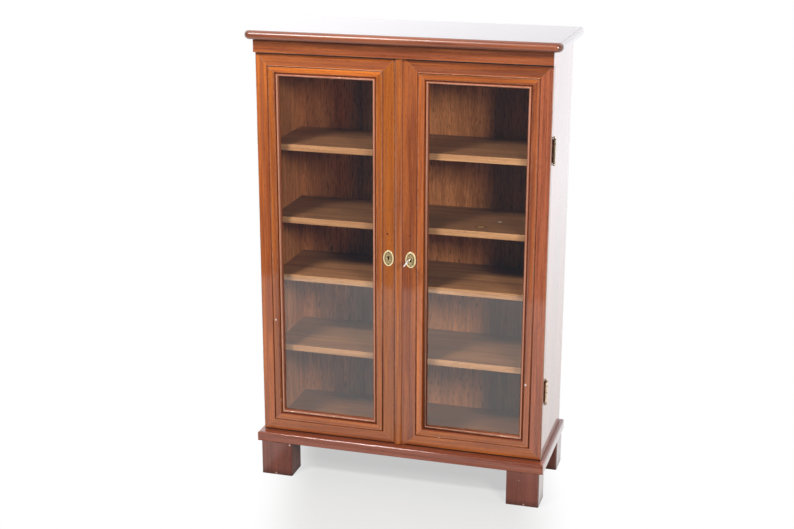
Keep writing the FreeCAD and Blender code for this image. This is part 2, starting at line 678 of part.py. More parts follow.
def bow_oval(half_h, half_l, centre):
    """Upright oval across the key's width, about a depth."""
    left = KEY_X - BOW_T / 2
    tall = max(half_h, half_l)
    if tall == half_h:
        tops = (at(left, centre, KEY_Z + half_h), at(left, centre + half_l, KEY_Z))
    else:
        tops = (at(left, centre + half_l, KEY_Z), at(left, centre, KEY_Z + half_h))
    curve = Part.Ellipse(tops[0], tops[1], at(left, centre, KEY_Z))
    return Part.Face(Part.Wire([curve.toShape()])).extrude(V(BOW_T, 0, 0))


def lock_keeper():
    """Box on the back of the left door that takes the bolt, open towards it."""
    right = LEFT_EDGE - KEEPER_EDGE
    wall = KEEPER_WALL + KEEPER_PLAY
    body = block(right - KEEPER_W, right, DOOR_T, DOOR_T + LOCK_T, BOLT_FOOT - wall, BOLT_FOOT + BOLT_H + wall)
    pocket = block(right - KEEPER_W + KEEPER_WALL, right, BOLT_DEPTH - KEEPER_PLAY,
                   BOLT_DEPTH + BOLT_T + KEEPER_PLAY, BOLT_FOOT - KEEPER_PLAY, BOLT_FOOT + BOLT_H + KEEPER_PLAY)
    return body.cut(pocket)


def rod_end(way):
    """Height of the drawn rod's end; way is 1 for the upper bolt and -1 for the lower."""
    if way > 0:
        return HEAD_RAIL_FOOT - SOCKET_PLATE - ROD_CLEAR
    return BOTTOM_TOP + SOCKET_PLATE + ROD_CLEAR


def bolt_guide(way):
    """Plate with two bridges that a surface bolt slides through."""
    start = rod_end(way) - way * GUIDE_FROM_END
    finish = start - way * GUIDE_L
    guide = block(-ROD_X - GUIDE_W / 2, -ROD_X + GUIDE_W / 2, DOOR_T, DOOR_T + GUIDE_T, start, finish)
    half = ROD_R + BRIDGE_WALL
    for begin in (start, finish + way * BRIDGE_L):
        guide = guide.fuse(block(-ROD_X - half, -ROD_X + half, DOOR_T + GUIDE_T, ROD_DEPTH + half,
                                 begin, begin - way * BRIDGE_L))
    bore = Part.makeCylinder(ROD_R + ROD_PLAY, GUIDE_L, at(-ROD_X, ROD_DEPTH + ROD_PLAY, min(start, finish)))
    return guide.cut(bore)


def bolt_rod(way):
    """Rod of a surface bolt with its knob, drawn back."""
    end = rod_end(way)
    rod = Part.makeCylinder(ROD_R, ROD_L, at(-ROD_X, ROD_DEPTH + ROD_PLAY, end), V(0, 0, -way))
    middle = end - way * (GUIDE_FROM_END + GUIDE_L / 2)
    knob = Part.makeCylinder(KNOB_R, ROD_R + KNOB_L, at(-ROD_X, ROD_DEPTH, middle), V(0, 1, 0))
    return rod.fuse(knob).removeSplitter()


def bolt_mortise(low, high):
    """Square socket for the end of a surface bolt, between two heights."""
    half = ROD_R + SOCKET_PLAY
    return block(-ROD_X - half, -ROD_X + half, ROD_DEPTH - half, ROD_DEPTH + half, low, high)


def bolt_sockets():
    """Plates round the sockets that the left door's bolts go into."""
    plates = []
    for low in (HEAD_RAIL_FOOT - SOCKET_PLATE, BOTTOM_TOP):
        plate = block(-ROD_X - SOCKET_PLATE_W / 2, -ROD_X + SOCKET_PLATE_W / 2, SIDE_FRONT,
                      SIDE_FRONT + SOCKET_PLATE_D, low, low + SOCKET_PLATE)
        plates.append(plate.cut(bolt_mortise(low, low + SOCKET_PLATE)))
    return Part.makeCompound(plates)


def carcass_pieces():
    """Everything that stands still."""
    pieces = {"top_board": top_board(), "frieze_rail": frieze_rail(), "left_side": side(-1), "right_side": side(1),
              "bottom_board": bottom_board(), "head_rail_front": head_rail_front(),
              "head_rail_back": head_rail_back(), "shelf_pegs": shelf_pegs(), "base_back_rail": base_back_rail(),
              "hinge_pins": hinge_pins(), "bolt_sockets": bolt_sockets()}
    for number in range(BACK_BOARDS):
        pieces["back_board_%d" % (number + 1)] = back_board(number)
    for number, height in enumerate(SHELF_HEIGHTS):
        pieces["shelf_%d" % (number + 1)] = shelf(height)
    for name in ("front", "left", "right"):
        pieces["base_moulding_" + name] = base_member(name)
    for name, hand in (("left", -1), ("right", 1)):
        pieces["front_%s_foot" % name] = foot(hand, True)
        pieces["back_%s_foot" % name] = foot(hand, False)
        for row, level in HINGE_LEVELS.items():
            pieces["%s_%s_side_leaf" % (name, row)] = hinge_leaf(hand, level, False)
    return pieces


def door_pieces(name, hand):
    """What both doors have, under the door's name."""
    pieces = {"%s_door_%s" % (name, part): shape for part, shape in door_frame(hand).items()}
    pieces["%s_door_sight_bead" % name] = sight_bead(hand)
    pieces["%s_door_glazing_stops" % name] = glazing_stops(hand)
    pieces["%s_door_glass" % name] = glass_pane(hand)
    pieces["%s_door_escutcheon" % name] = escutcheon(hand * KEY_X)
    for row, level in HINGE_LEVELS.items():
        pieces["%s_%s_door_leaf" % (name, row)] = hinge_leaf(hand, level, True)
    return pieces


def main():
    """Builds every piece and writes one file for each."""
    pieces = carcass_pieces()
    pieces.update(door_pieces("left", -1))
    pieces.update(door_pieces("right", 1))
    pieces.update({"astragal": astragal(), "lock_case": lock_case(), "lock_bolt": lock_bolt(), "key": key(),
                   "lock_keeper": lock_keeper(), "upper_bolt_guide": bolt_guide(1),
                   "lower_bolt_guide": bolt_guide(-1), "upper_bolt_rod": bolt_rod(1),
                   "lower_bolt_rod": bolt_rod(-1)})
    os.makedirs("parts", exist_ok=True)
    for name, shape in pieces.items():
        shape.exportStep("parts/%s.step" % name)


main()
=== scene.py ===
import json
import math
import random

import bmesh
import bpy
from mathutils import Matrix, Vector


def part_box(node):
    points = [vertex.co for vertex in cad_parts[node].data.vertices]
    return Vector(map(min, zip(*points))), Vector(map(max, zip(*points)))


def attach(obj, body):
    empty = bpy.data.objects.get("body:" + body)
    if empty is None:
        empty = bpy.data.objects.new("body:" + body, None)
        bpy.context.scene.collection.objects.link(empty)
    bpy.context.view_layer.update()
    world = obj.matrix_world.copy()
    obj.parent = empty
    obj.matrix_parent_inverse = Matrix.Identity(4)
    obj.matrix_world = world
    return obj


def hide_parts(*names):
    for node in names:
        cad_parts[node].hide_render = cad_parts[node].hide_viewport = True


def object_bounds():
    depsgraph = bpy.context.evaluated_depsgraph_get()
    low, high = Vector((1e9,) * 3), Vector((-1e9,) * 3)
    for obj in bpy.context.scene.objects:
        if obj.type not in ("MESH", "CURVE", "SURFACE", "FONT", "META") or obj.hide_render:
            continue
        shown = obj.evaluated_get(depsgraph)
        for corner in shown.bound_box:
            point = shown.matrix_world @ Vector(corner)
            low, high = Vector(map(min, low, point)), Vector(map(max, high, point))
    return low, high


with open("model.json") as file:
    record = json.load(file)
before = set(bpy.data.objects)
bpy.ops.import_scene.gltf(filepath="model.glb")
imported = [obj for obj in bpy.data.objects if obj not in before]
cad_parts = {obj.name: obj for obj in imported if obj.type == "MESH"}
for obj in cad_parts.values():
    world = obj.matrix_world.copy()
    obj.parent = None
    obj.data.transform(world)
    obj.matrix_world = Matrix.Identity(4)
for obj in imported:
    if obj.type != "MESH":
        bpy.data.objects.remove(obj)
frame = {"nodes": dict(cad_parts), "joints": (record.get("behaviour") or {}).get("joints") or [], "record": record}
CAD_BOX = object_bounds()

bl_info = {
    "name": "Glazed Bookcase",
    "version": (1, 0, 0),
    "blender": (4, 5, 0),
    "location": "View3D > Sidebar > Bookcase",
    "description": "Finishes a mahogany bookcase with a pair of glass doors and sets it on a pale stage",
    "category": "Object",
}

MM = 0.001
X_AXIS, Y_AXIS, Z_AXIS = range(3)
LOW, HIGH = range(2)          # corners of a box
WHITE = (1.0, 1.0, 1.0, 1.0)

BODY_OF = {node: body for body, nodes in frame["record"]["behaviour"]["bodies"].items() for node in nodes}
JOINT = {joint["name"]: joint for joint in frame["joints"]}

# Mahogany of each polished node: its share of the redder stain, from 0 to 1, and its lightness
MAHOGANY = {
    "top_board": (0.7, 0.8),
    "frieze_rail": (0.4, 1.12),
    "left_side": (0.5, 1.0),
    "right_side": (0.5, 1.0),
    "astragal": (0.0, 1.04),
    "left_door_glazing_stops": (0.6, 1.0),
    "right_door_glazing_stops": (0.6, 1.0),
}
# The same for the doors' frames, with the lightness of the moulded band after that of the flat; these lightnesses
# are partly the wood's own tone and partly painted light, a member or band that catches more light being painted
# lighter
FRAMES = {
    "left_door_hinge_stile": (0.2, 1.32, 1.08),
    "left_door_meeting_stile": (0.0, 0.87, 1.01),
    "left_door_top_rail": (0.1, 1.27, 1.60),
    "left_door_bottom_rail": (0.15, 1.08, 1.30),
    "right_door_hinge_stile": (0.85, 1.03, 0.98),
    "right_door_meeting_stile": (0.35, 0.93, 1.33),
    "right_door_top_rail": (0.35, 0.80, 1.06),
    "right_door_bottom_rail": (0.1, 1.02, 1.10),
}
BAND_STAIN = 0.6              # stain of a moulded band, as a share of that of the flat beside it
# the top board's upper face and ends are painted darker than its front: painted shade, as more light falls on the
# upper face
TOP_FACE_SHADED_LIGHT = 0.5          # lightness of the top board's upper face and ends, as a share of its front's
BASE_NODES = ("base_moulding_front", "base_moulding_left", "base_moulding_right", "front_left_foot",
              "front_right_foot", "back_left_foot", "back_right_foot")
# Lightness of the shelves and of the oak inside: partly each board's own tone and partly painted light, lighter
# where a board lies in more shade, as the third shelf under the one above it
SHELVES = {"shelf_1": 1.1, "shelf_2": 0.92, "shelf_3": 1.3, "shelf_4": 1.15, "shelf_pegs": 1.0}
OAK = {
    "back_board_1": 1.05,
    "back_board_2": 1.05,
    "back_board_3": 1.2,
    "back_board_4": 1.2,
    "bottom_board": 0.5,
    "head_rail_front": 1.1,
    "head_rail_back": 1.1,
    "base_back_rail": 1.1,
}
INNER_SIDE_LIGHT = 1.1        # lightness of the inner faces of the sides
BRASS_NODES = ("hinge_pins", "left_door_escutcheon", "right_door_escutcheon") + tuple(
    "%s_%s_%s_leaf" % (hand, row, holder)
    for hand in ("left", "right") for row in ("upper", "lower") for holder in ("door", "side"))
STEEL_NODES = ("lock_case", "lock_bolt", "lock_keeper", "upper_bolt_guide", "lower_bolt_guide",
               "upper_bolt_rod", "lower_bolt_rod", "bolt_sockets")
MOULDED_BAND = 20.0 * MM      # width of the moulded band round each door's glass

# Places of the fasteners
LEAF_WIDTH = 15.0 * MM        # plain part of a hinge leaf
LEAF_GAP = 0.4 * MM           # between the two leaves of a closed hinge
SCREWS_PER_LEAF = 3
GROOVE_DEPTH = 1.0 * MM       # in the escutcheons, under their rims
GUIDE_THICKNESS = 1.6 * MM    # plates of the surface bolts
SOCKET_THICKNESS = 1.5 * MM   # plates that the surface bolts go into
LOCK_INSET = 5 * MM           # screws from the edges of the lock
KEEPER_INSET = 3 * MM         # screws from the ends of the keeper
BOLT_INSET = 4 * MM           # screws from the edges of the bolts' guides and sockets
GUIDE_SCREWS = 0.3            # screws from the ends of a guide, as a share of its length
PIN_REACH = 0.38              # pins from the middle of an escutcheon, as a share of its height
NAIL_INSET = 0.15             # nails from the edges of a back board, as a share of its width
NAIL_FOOT, NAIL_HEAD = 8 * MM, 22 * MM    # nails from the lower and upper end of a back board

# Lines painted round the glass, most of them painted shade in grooves and gaps and painted highlights on arrises:
# distance from the outer edge of the bead, half the width and the colour
# painted shade in the quirk between the flat and the moulded band
QUIRK = (20.4 * MM, 1.0 * MM, (0.16, 0.034, 0.013))
# pale outer edge of the hinge stiles: partly wear, partly a painted highlight
OUTER_ARRIS = (52.6 * MM, 0.8 * MM, (0.60, 0.350, 0.250))
# painted shade on the bottom rail's inner edge, beside the bead
INNER_EDGE = (0.8 * MM, 1.2 * MM, (0.21, 0.046, 0.019))
UPPER_QUIRK = (20.6 * MM, 0.9 * MM, (0.42, 0.110, 0.045))
# painted highlight on the top rail's band, where its upper edge catches the light
UPPER_ARRIS_HIGHLIGHT = (18.6 * MM, 1.3 * MM, (0.85, 0.380, 0.200))
FRAME_LINES = {
    "hinge_stile": (QUIRK, OUTER_ARRIS),
    "meeting_stile": (QUIRK,),
    "top_rail": (UPPER_QUIRK, UPPER_ARRIS_HIGHLIGHT),
    "bottom_rail": (QUIRK, INNER_EDGE),
}
BEAD_LINES = (
    # painted light: the groove by the band is coloured lighter to make up for its shade
    (-0.6 * MM, 1.1 * MM, (0.66, 0.185, 0.065)),
    # painted shade in the groove between the band and the bead
    (-2.5 * MM, 1.0 * MM, (0.38, 0.095, 0.042)),
    # painted shade on the bead's inner side, by the glass
    (-9.5 * MM, 1.5 * MM, (0.28, 0.066, 0.028)),
)
LINE_DEPTH = 8.0 * MM         # how far behind the front of the bead the lines reach
LINE_STOP = 0.4 * MM          # how far before and behind that depth they fade
LINE_FADE = 0.3               # how far the edge of a line fades to each side, in half widths

# Darkening by height: where it starts, where it is full, and the share of the wood's lightness that it leaves
# on the door rails: painted shade in the gaps under the frieze and above the base
RAIL_SHADE = (4.0 * MM, 2.0 * MM, 0.1)     # measured from the outer edge of a door's rail
# on the feet: darker towards the floor
FOOT_DARKENING = (22 * MM, 2 * MM, 0.6)        # measured from the floor
# on the frieze: painted shadow of the top board's overhang
FRIEZE_SHADOW = (0.35, 0.7, 0.45)           # measured from the frieze's foot, in shares of its height

# Upright strips of painted shadow on the back, where the door stiles shade it: middle and half of the width
PAINTED_SHADOW_STRIPS = ((-150 * MM, 70 * MM), (280 * MM, 95 * MM))
STRIP_FADE = (-30 * MM, 40 * MM)          # from the edge of a strip, where it is darkest and where it ends
STRIP_SHADE = 0.45


def side_of(node, corner, axis):
    """Where a side of a node's box is, in millimetres."""
    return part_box(node)[corner][axis] / MM


BAND_FRONT = side_of("left_door_hinge_stile", LOW, Y_AXIS)
FLAT_FRONT = side_of("left_door_escutcheon", HIGH, Y_AXIS)
FOOT_FRONT = side_of("front_left_foot", LOW, Y_AXIS)
SHELF_TOP = side_of("shelf_2", HIGH, Z_AXIS)
BASE_TOP = side_of("base_moulding_front", HIGH, Z_AXIS)

# Old damage, and painted shade in holes: middle and radius in millimetres, and colour
PALE_CHIP = (0.72, 0.58, 0.50)
DULL_CHIP = (0.42, 0.28, 0.22)
PLUG = (0.07, 0.014, 0.005)
# painted shade of a hole, in the keyhole behind the dummy escutcheon and in the notch of the base
HOLE_SHADE = (0.010, 0.006, 0.004)
RING_MIDDLE = (0.34, 0.185, 0.065)
BASE_NOTCH = ((-399.2, -147.1, BASE_TOP), 3.5, HOLE_SHADE)
MARKS = {
    "left_door_hinge_stile": (((-358.7, BAND_FRONT, 461.7), 3.6, PALE_CHIP),
                              ((-347.1, -125.6, 221.1), 2.0, PALE_CHIP)),
    "right_door_hinge_stile": (((352.6, BAND_FRONT, 345.9), 4.0, PALE_CHIP),),
    "left_door_meeting_stile": (((-34.0, FLAT_FRONT, 735.5), 3.6, PLUG),
                                ((-31.0, FLAT_FRONT, 671.5), 4.2, HOLE_SHADE),
                                ((-31.0, FLAT_FRONT, 665.5), 4.0, HOLE_SHADE)),
    "right_door_meeting_stile": (((27.1, FLAT_FRONT, 734.9), 2.6, PLUG),),
    "shelf_2": (((202.1, -37.5, SHELF_TOP), 21.0, PLUG),
                ((202.1, -37.5, SHELF_TOP), 13.5, RING_MIDDLE),
                ((240.3, 27.6, SHELF_TOP), 7.0, PALE_CHIP)),
    "front_left_foot": (((-317.0, FOOT_FRONT, 95.4), 3.0, PALE_CHIP),
                        ((-359.1, FOOT_FRONT, 4.0), 4.0, DULL_CHIP),
                        ((-310.0, FOOT_FRONT, 37.8), 3.0, DULL_CHIP)),
    "front_right_foot": (((346.0, FOOT_FRONT, 74.5), 2.0, DULL_CHIP),
                         ((361.5, FOOT_FRONT, 4.0), 3.5, DULL_CHIP)),
    "base_moulding_front": (BASE_NOTCH,),
    "base_moulding_left": (BASE_NOTCH,),
}

# Grain: lengths along the board in metres, and widths in ribbons, of the broad figure and the veins
FIGURE_RUN, FIGURE_WIDTH = 0.8, 5
RIBBON_RUN = 0.5
VEIN_RUN, VEIN_WIDTH = 0.7, 0.7
PORE_RUN = 16                 # length of a pore in its widths
FIGURE_SHARE, RIBBON_SHARE, LINE_SHARE = 0.34, 0.33, 0.33
GRAIN_SHIFT = 40.0            # farthest place in the pattern, each way, where a board is cut
# Levels of the cloudy values between which wood turns pale, and veins, pores and worn patches set in
PALE_LEVELS = (0.38, 0.62)
VEIN_LEVELS = (0.50, 0.64)
PORE_LEVELS = (0.58, 0.70)
WORN_LEVELS = (0.38, 0.60)
PORE_TONE = 0.35              # colour of a pore, as a share of the dark grain
WORN_PATCHES = 55.0           # to the metre
WORN_EDGE = 1.6 * MM
# How far dirt and painted shade spread from a corner, and how open a face is where they end and polish starts and
# is full
CORNER_REACH = 6 * MM
DIRT_AND_SHADE_END = 0.7
POLISH_LEVELS = (0.45, 0.85)
# Roughness under the polish: of dull wood, what gloss takes off it, and what lines and wear add to it
DULL_ROUGHNESS, GLOSS_ROUGHNESS = 0.60, 0.3
LINE_ROUGHNESS, WORN_ROUGHNESS = 0.16, 0.2
LINE_RELIEF = 0.4             # height of the lines, as a share of the depth of the pores
GRAIN_RELIEF, GRAIN_STRENGTH = 0.3 * MM, 0.12
VARNISH_IOR = 1.5
FINE_POLISH, SOFT_POLISH = 0.06, 0.3      # roughness of the polish
# How far a normal has to lie along an axis
END_FACE = 0.3                # for the rounded ends of the top board
FLAT_FACE = 0.9               # for flat faces
EDGE_FACE = 0.5               # for the edges of shelves with their rounding
# How far a face agrees with its rounded form where wear starts and is full
RUBBED_LEVELS = (0.995, 0.90)

# Old metal: clouds and specks to the metre, corners, dullness and how rough it is
CLOUDS, SPECKS = 160.0, 1400.0
DULL_CORNER = 4 * MM
DULL_CORNER_LEVELS = (0.97, 0.55)
# Cloud levels where dull patches start and are full, and how far a dull metal lowers each
DULL_SPREAD = ((0.62, 0.35), (0.80, 0.25))
AGED_ROUGHNESS, BRIGHT_ROUGHNESS, POLISH_GAIN = 0.25, 0.42, 0.25
METAL_RELIEF, METAL_STRENGTH = 0.1 * MM, 0.15
# lightness left in a screw's slot: painted shade, as the slot is too shallow to hold its own
SLOT_SHADE = 0.12
# Escutcheons: the field within the rim as shares of the plate, its mottle, corners and roughness
FIELD_EDGE = (0.80, 0.72)
MOTTLE = 420.0
MOTTLE_LEVELS = (0.30, 0.65, 0.35, 0.95)
PLATE_CORNER = 2.5 * MM
PLATE_CORNER_LEVELS = (0.95, 0.5)
PLATE_ROUGHNESS = (0.25, 0.45)
PLATE_METAL = 0.35

# Glass: size of its waves in metres, and its colours to the eye and to lamps
WAVE_WIDTH, WAVE_RUN = 0.06, 0.11
WAVE_RELIEF, WAVE_STRENGTH = 1.0 * MM, 0.06
GLASS_TINT = (0.97, 0.985, 0.975, 1.0)
GLASS_SHADE = (0.93, 0.945, 0.935, 1.0)
GLASS_IOR = 1.5

# Meshes
WELD = 0.002 * MM
FLAT_ANGLE = math.radians(0.5)
SHARP_ANGLE = math.radians(35)
SMOOTH_ANGLE = math.radians(40)
ROUNDING_STEPS = 2
SHORT_EDGE = 4                # edges shorter than this many soft edges stay sharp
SCREW_SIDES = 24
DOME_SEGMENTS, DOME_RINGS = 20, 10
SLOT_LENGTH = 3.0             # bar that cuts the slot, in radii of the head
SLOT_LIFT = 0.7               # its middle over the plate, in heights of the head
SLOT_HALF = 0.51              # half of the slot's width, with a little more so that its walls count

# Stage, in metres
NEAR_LAMP = (1.8, -2.3, 1.85)
HIGH_LAMP = (-1.2, -2.47, 3.1)
LAMP_TARGET = (0.0, 0.0, 0.7)
FLOOR_HALF = 15.0
FLOOR_PATCHES = 6.0           # to the metre
FLOOR_TONES = ((0.52, 0.52, 0.515, 1.0), (0.58, 0.58, 0.575, 1.0))
FLOOR_BOUNCE = (0.2, 0.2, 0.2, 1.0)       # what the floor throws back on the object
SWEEP_EDGE = 0.03             # half the width of the mirrored floor's front edge
BESIDE = (-0.6, -0.2)         # depths between which the floor comes to lie beside the object
SIDE_RISE = (0.40, 1.0, 0.80, 1.27)       # two distances aside, and the mirrored floor's levels there
SIDE_TINT = (0.5, 1.1)        # distances aside between which it takes on its tint
UNDER_SIDES = (0.385, 0.42, 0.15, 1.0)    # two distances aside, and the share of it that shows there
FLOOR_BEFORE = 0.55           # depth, before and behind, from which all of it shows
ACROSS_VIEW = (0.961, 0.276, 0.0)         # level direction across the camera's view
SHADOW_SIDES = (0.26, 0.44, 0.53, 1.0)    # two distances across the view, and how white the floor is there
SHADOW_BACK = (-0.05, 0.25)   # depths between which the shadow fades into white
SHADOW_END = (1.1, 1.7)       # distances from the middle between which it does
STUDIO_EDGE = (-0.35, 0.15)   # directions, by their depth, between the dim studio and the white sweep
# Directions, by their x, between which the mirrored sweep changes, and its levels there
SWEEP_LEFT = (-0.40, -0.12, 1.18, 0.95)
SWEEP_RIGHT = (-0.12, 0.15, 1.0, 1.35)
CAMERA_PLACE = (1.00452, -3.64309, 1.76082)
CAMERA_ANGLES = (16.0452, 73.1568, 0.1435)    # turn, tilt and roll in degrees
CAMERA_LENS, CAMERA_SENSOR = 64.487, 36.0     # focal length and width of the picture, in millimetres


def colour_property(name, description, default):
    """Colour that a user can change."""
    return bpy.props.FloatVectorProperty(name=name, description=description, subtype="COLOR", size=3,
                                         min=0.0, max=1.0, default=default)


def length_property(name, description, default):
    """Length that a user can change."""
    return bpy.props.FloatProperty(name=name, description=description, subtype="DISTANCE", unit="LENGTH",
                                   min=0.0, default=default)


def share_property(name, description, default):
    """Share from 0 to 1 that a user can change."""
    return bpy.props.FloatProperty(name=name, description=description, subtype="FACTOR", min=0.0, max=1.0,
                                   default=default)


def strength_property(name, description, default):
    """Strength of a light that may go past 1."""
    return bpy.props.FloatProperty(name=name, description=description, min=0.0, max=4.0, default=default)


def power_property(name, description, default):
    """Power of a lamp that a user can change."""
    return bpy.props.FloatProperty(name=name, description=description, subtype="POWER", min=0.0,
                                   default=default)


class BookcaseTimbers(bpy.types.PropertyGroup):
    """Colours and wear of the woods."""
    amber_light: colour_property("Amber light", "Pale grain of the yellower mahogany", (0.49, 0.130, 0.015))
    amber_dark: colour_property("Amber dark", "Dark grain of the yellower mahogany", (0.24, 0.053, 0.008))
    russet_light: colour_property("Russet light", "Pale grain of the redder mahogany", (0.41, 0.112, 0.052))
    russet_dark: colour_property("Russet dark", "Dark grain of the redder mahogany", (0.18, 0.042, 0.022))
    streak: colour_property("Streak", "Purplish streaks in the mahogany", (0.25, 0.078, 0.045))
    bead_light: colour_property("Bead light", "Pale grain of the glazing beads", (0.56, 0.265, 0.165))
    bead_dark: colour_property("Bead dark", "Dark grain of the glazing beads", (0.40, 0.170, 0.098))
    base_light: colour_property("Base light", "Pale grain of the base", (0.31, 0.078, 0.034))
    base_dark: colour_property("Base dark", "Dark grain of the base", (0.17, 0.038, 0.018))
    foot_light: colour_property("Foot light", "Pale grain of the feet", (0.25, 0.078, 0.052))
    foot_dark: colour_property("Foot dark", "Dark grain of the feet", (0.17, 0.050, 0.034))
    shelf_light: colour_property("Shelf light", "Pale grain of the shelves", (0.33, 0.143, 0.058))
    shelf_dark: colour_property("Shelf dark", "Dark grain of the shelves", (0.18, 0.072, 0.029))
    edge_light: colour_property("Edge light", "Pale grain of the shelves' edges", (0.74, 0.370, 0.170))
    edge_dark: colour_property("Edge dark", "Dark grain of the shelves' edges", (0.48, 0.205, 0.085))
    back_light: colour_property("Back light", "Pale grain of the inside", (0.66, 0.243, 0.080))
    back_dark: colour_property("Back dark", "Dark grain of the inside", (0.36, 0.120, 0.037))
    worn: colour_property("Worn edge", "Wood where the polish has rubbed off", (0.58, 0.340, 0.230))
    soft_edge: length_property("Soft edge", "Width of the rounding on the edges of the boards", 0.7 * MM)
    wear: share_property("Wear", "How much of the edges is rubbed", 0.6)


class BookcaseMetals(bpy.types.PropertyGroup):
    """Colours and sizes of the metal fittings."""
    brass: colour_property("Brass", "Aged brass of the hinges", (0.60, 0.470, 0.340))
    lacquered: colour_property("Lacquered brass", "Pale brass of the escutcheons", (1.0, 0.80, 0.45))
    tarnished_plate: colour_property("Tarnished plate", "Darkened field of the escutcheons",
                                     (0.19, 0.120, 0.035))
    tarnish: colour_property("Tarnish", "Brass where it has darkened", (0.21, 0.140, 0.090))
    pin: colour_property("Pin", "Blackened pins of the escutcheons", (0.03, 0.018, 0.008))
    steel: colour_property("Steel", "Bare steel", (0.56, 0.55, 0.53))
    nickel: colour_property("Nickel", "Bright plating of the key", (0.92, 0.89, 0.87))
    rust: colour_property("Rust", "Steel where it has darkened", (0.17, 0.12, 0.09))
    screw_radius: length_property("Screw radius", "Radius of a screw head", 2.6 * MM)
    screw_height: length_property("Screw height", "Height of a screw head over its plate", 0.12 * MM)
    slot_width: length_property("Slot width", "Width of the slot in a screw head", 0.7 * MM)
    pin_radius: length_property("Pin radius", "Radius of an escutcheon pin's head", 2.0 * MM)
    pin_height: length_property("Pin height", "Height of an escutcheon pin's head", 0.6 * MM)
    nail_radius: length_property("Nail radius", "Radius of a nail's head", 2.2 * MM)
    nail_height: length_property("Nail height", "Height of a nail's head", 0.5 * MM)
    seed: bpy.props.IntProperty(name="Seed", description="Draws how far each screw is turned", default=7)


class BookcaseStage(bpy.types.PropertyGroup):
    """Light and floor."""
    near_power: power_property("Near lamp", "Power of the lamp on the right", 54.0)
    near_size: length_property("Near lamp size", "Width of the lamp on the right", 0.65)
    high_power: power_property("High lamp", "Power of the soft lamp high on the left", 110.0)
    high_width: length_property("High lamp width", "Width of the soft lamp high on the left", 0.80)
    high_height: length_property("High lamp height", "Height of the soft lamp high on the left", 0.50)
    ambient: share_property("Ambient", "Strength of the surroundings beside and behind the bookcase", 0.65)
    front_dim: share_property("Dim front", "Strength of the surroundings in front of the bookcase", 0.05)
    mirrored: strength_property("Mirrored sweep", "Strength of the white sweep in polished surfaces", 1.5)
    mirrored_floor: strength_property("Mirrored floor", "Strength of the floor in polished surfaces", 1.35)
    mirrored_dim: share_property("Mirrored front", "Strength of the dim studio in polished surfaces", 0.24)
    sweep_tint: colour_property("Sweep tint", "Colour of the white sweep in mirrors", (0.933, 0.959, 1.0))
    dim_tint: colour_property("Dim tint", "Colour of the dim studio in mirrors", (0.52, 0.78, 1.0))
    sweep_front: length_property("Sweep front", "Reach of the bright floor in front of the doors", 1.75)


class Nodes:
    """A node tree, with short calls for the nodes that the pieces share."""

    def __init__(self, tree):
        self.tree = tree
        self.tree.nodes.clear()

    def add(self, kind, values=None, **settings):
        """Node of a kind, with its settings and its inputs, each a value or a socket to link."""
        node = self.tree.nodes.new(kind)
        for name, value in settings.items():
            setattr(node, name, value)
        for name, value in (values or {}).items():
            if isinstance(value, bpy.types.NodeSocket):
                self.tree.links.new(value, node.inputs[name])
            else:
                node.inputs[name].default_value = value
        return node

    def maths(self, operation, *values, clamp=False):
        """Result of a sum on up to three values."""
        node = self.add("ShaderNodeMath", dict(enumerate(values)), operation=operation, use_clamp=clamp)
        return node.outputs[0]

    def mixed(self, share, first, second, blend="MIX"):
        """Colour between two colours."""
        return self.add("ShaderNodeMix", {0: share, 6: first, 7: second}, data_type="RGBA",
                        blend_type=blend).outputs[2]

    def between(self, share, first, second):
        """Value between two values."""
        return self.add("ShaderNodeMix", {0: share, 2: first, 3: second}, data_type="FLOAT").outputs[0]

    def vector_maths(self, operation, *vectors):
        """Value that a sum on one or two vectors gives."""
        node = self.add("ShaderNodeVectorMath", dict(enumerate(vectors)), operation=operation)
        return node.outputs["Value"]

    def part(self, vector, axis):
        """One part of a vector."""
        return self.add("ShaderNodeSeparateXYZ", {0: vector}).outputs[axis]

    def eased(self, value, low, high, floor=0.0, ceiling=1.0, steps="SMOOTHSTEP"):
        """Value led from floor, at low, to ceiling, at high: eased, or straight with LINEAR steps."""
        spans = {"Value": value, "From Min": low, "From Max": high, "To Min": floor, "To Max": ceiling}
        return self.add("ShaderNodeMapRange", spans, interpolation_type=steps).outputs[0]

    def seen_and_mirrored(self):
        """Values that are 1 for rays from the camera, through glass too, and for rays off a mirror."""
        path = self.add("ShaderNodeLightPath").outputs
        turned = self.maths("GREATER_THAN", path["Glossy Depth"], 0.5)
        through = self.maths("SUBTRACT", path["Is Transmission Ray"], turned, clamp=True)
        seen = self.maths("MAXIMUM", path["Is Camera Ray"], through)
        off_glass = self.maths("MULTIPLY", path["Is Transmission Ray"], turned)
        return seen, self.maths("MAXIMUM", path["Is Glossy Ray"], off_glass)


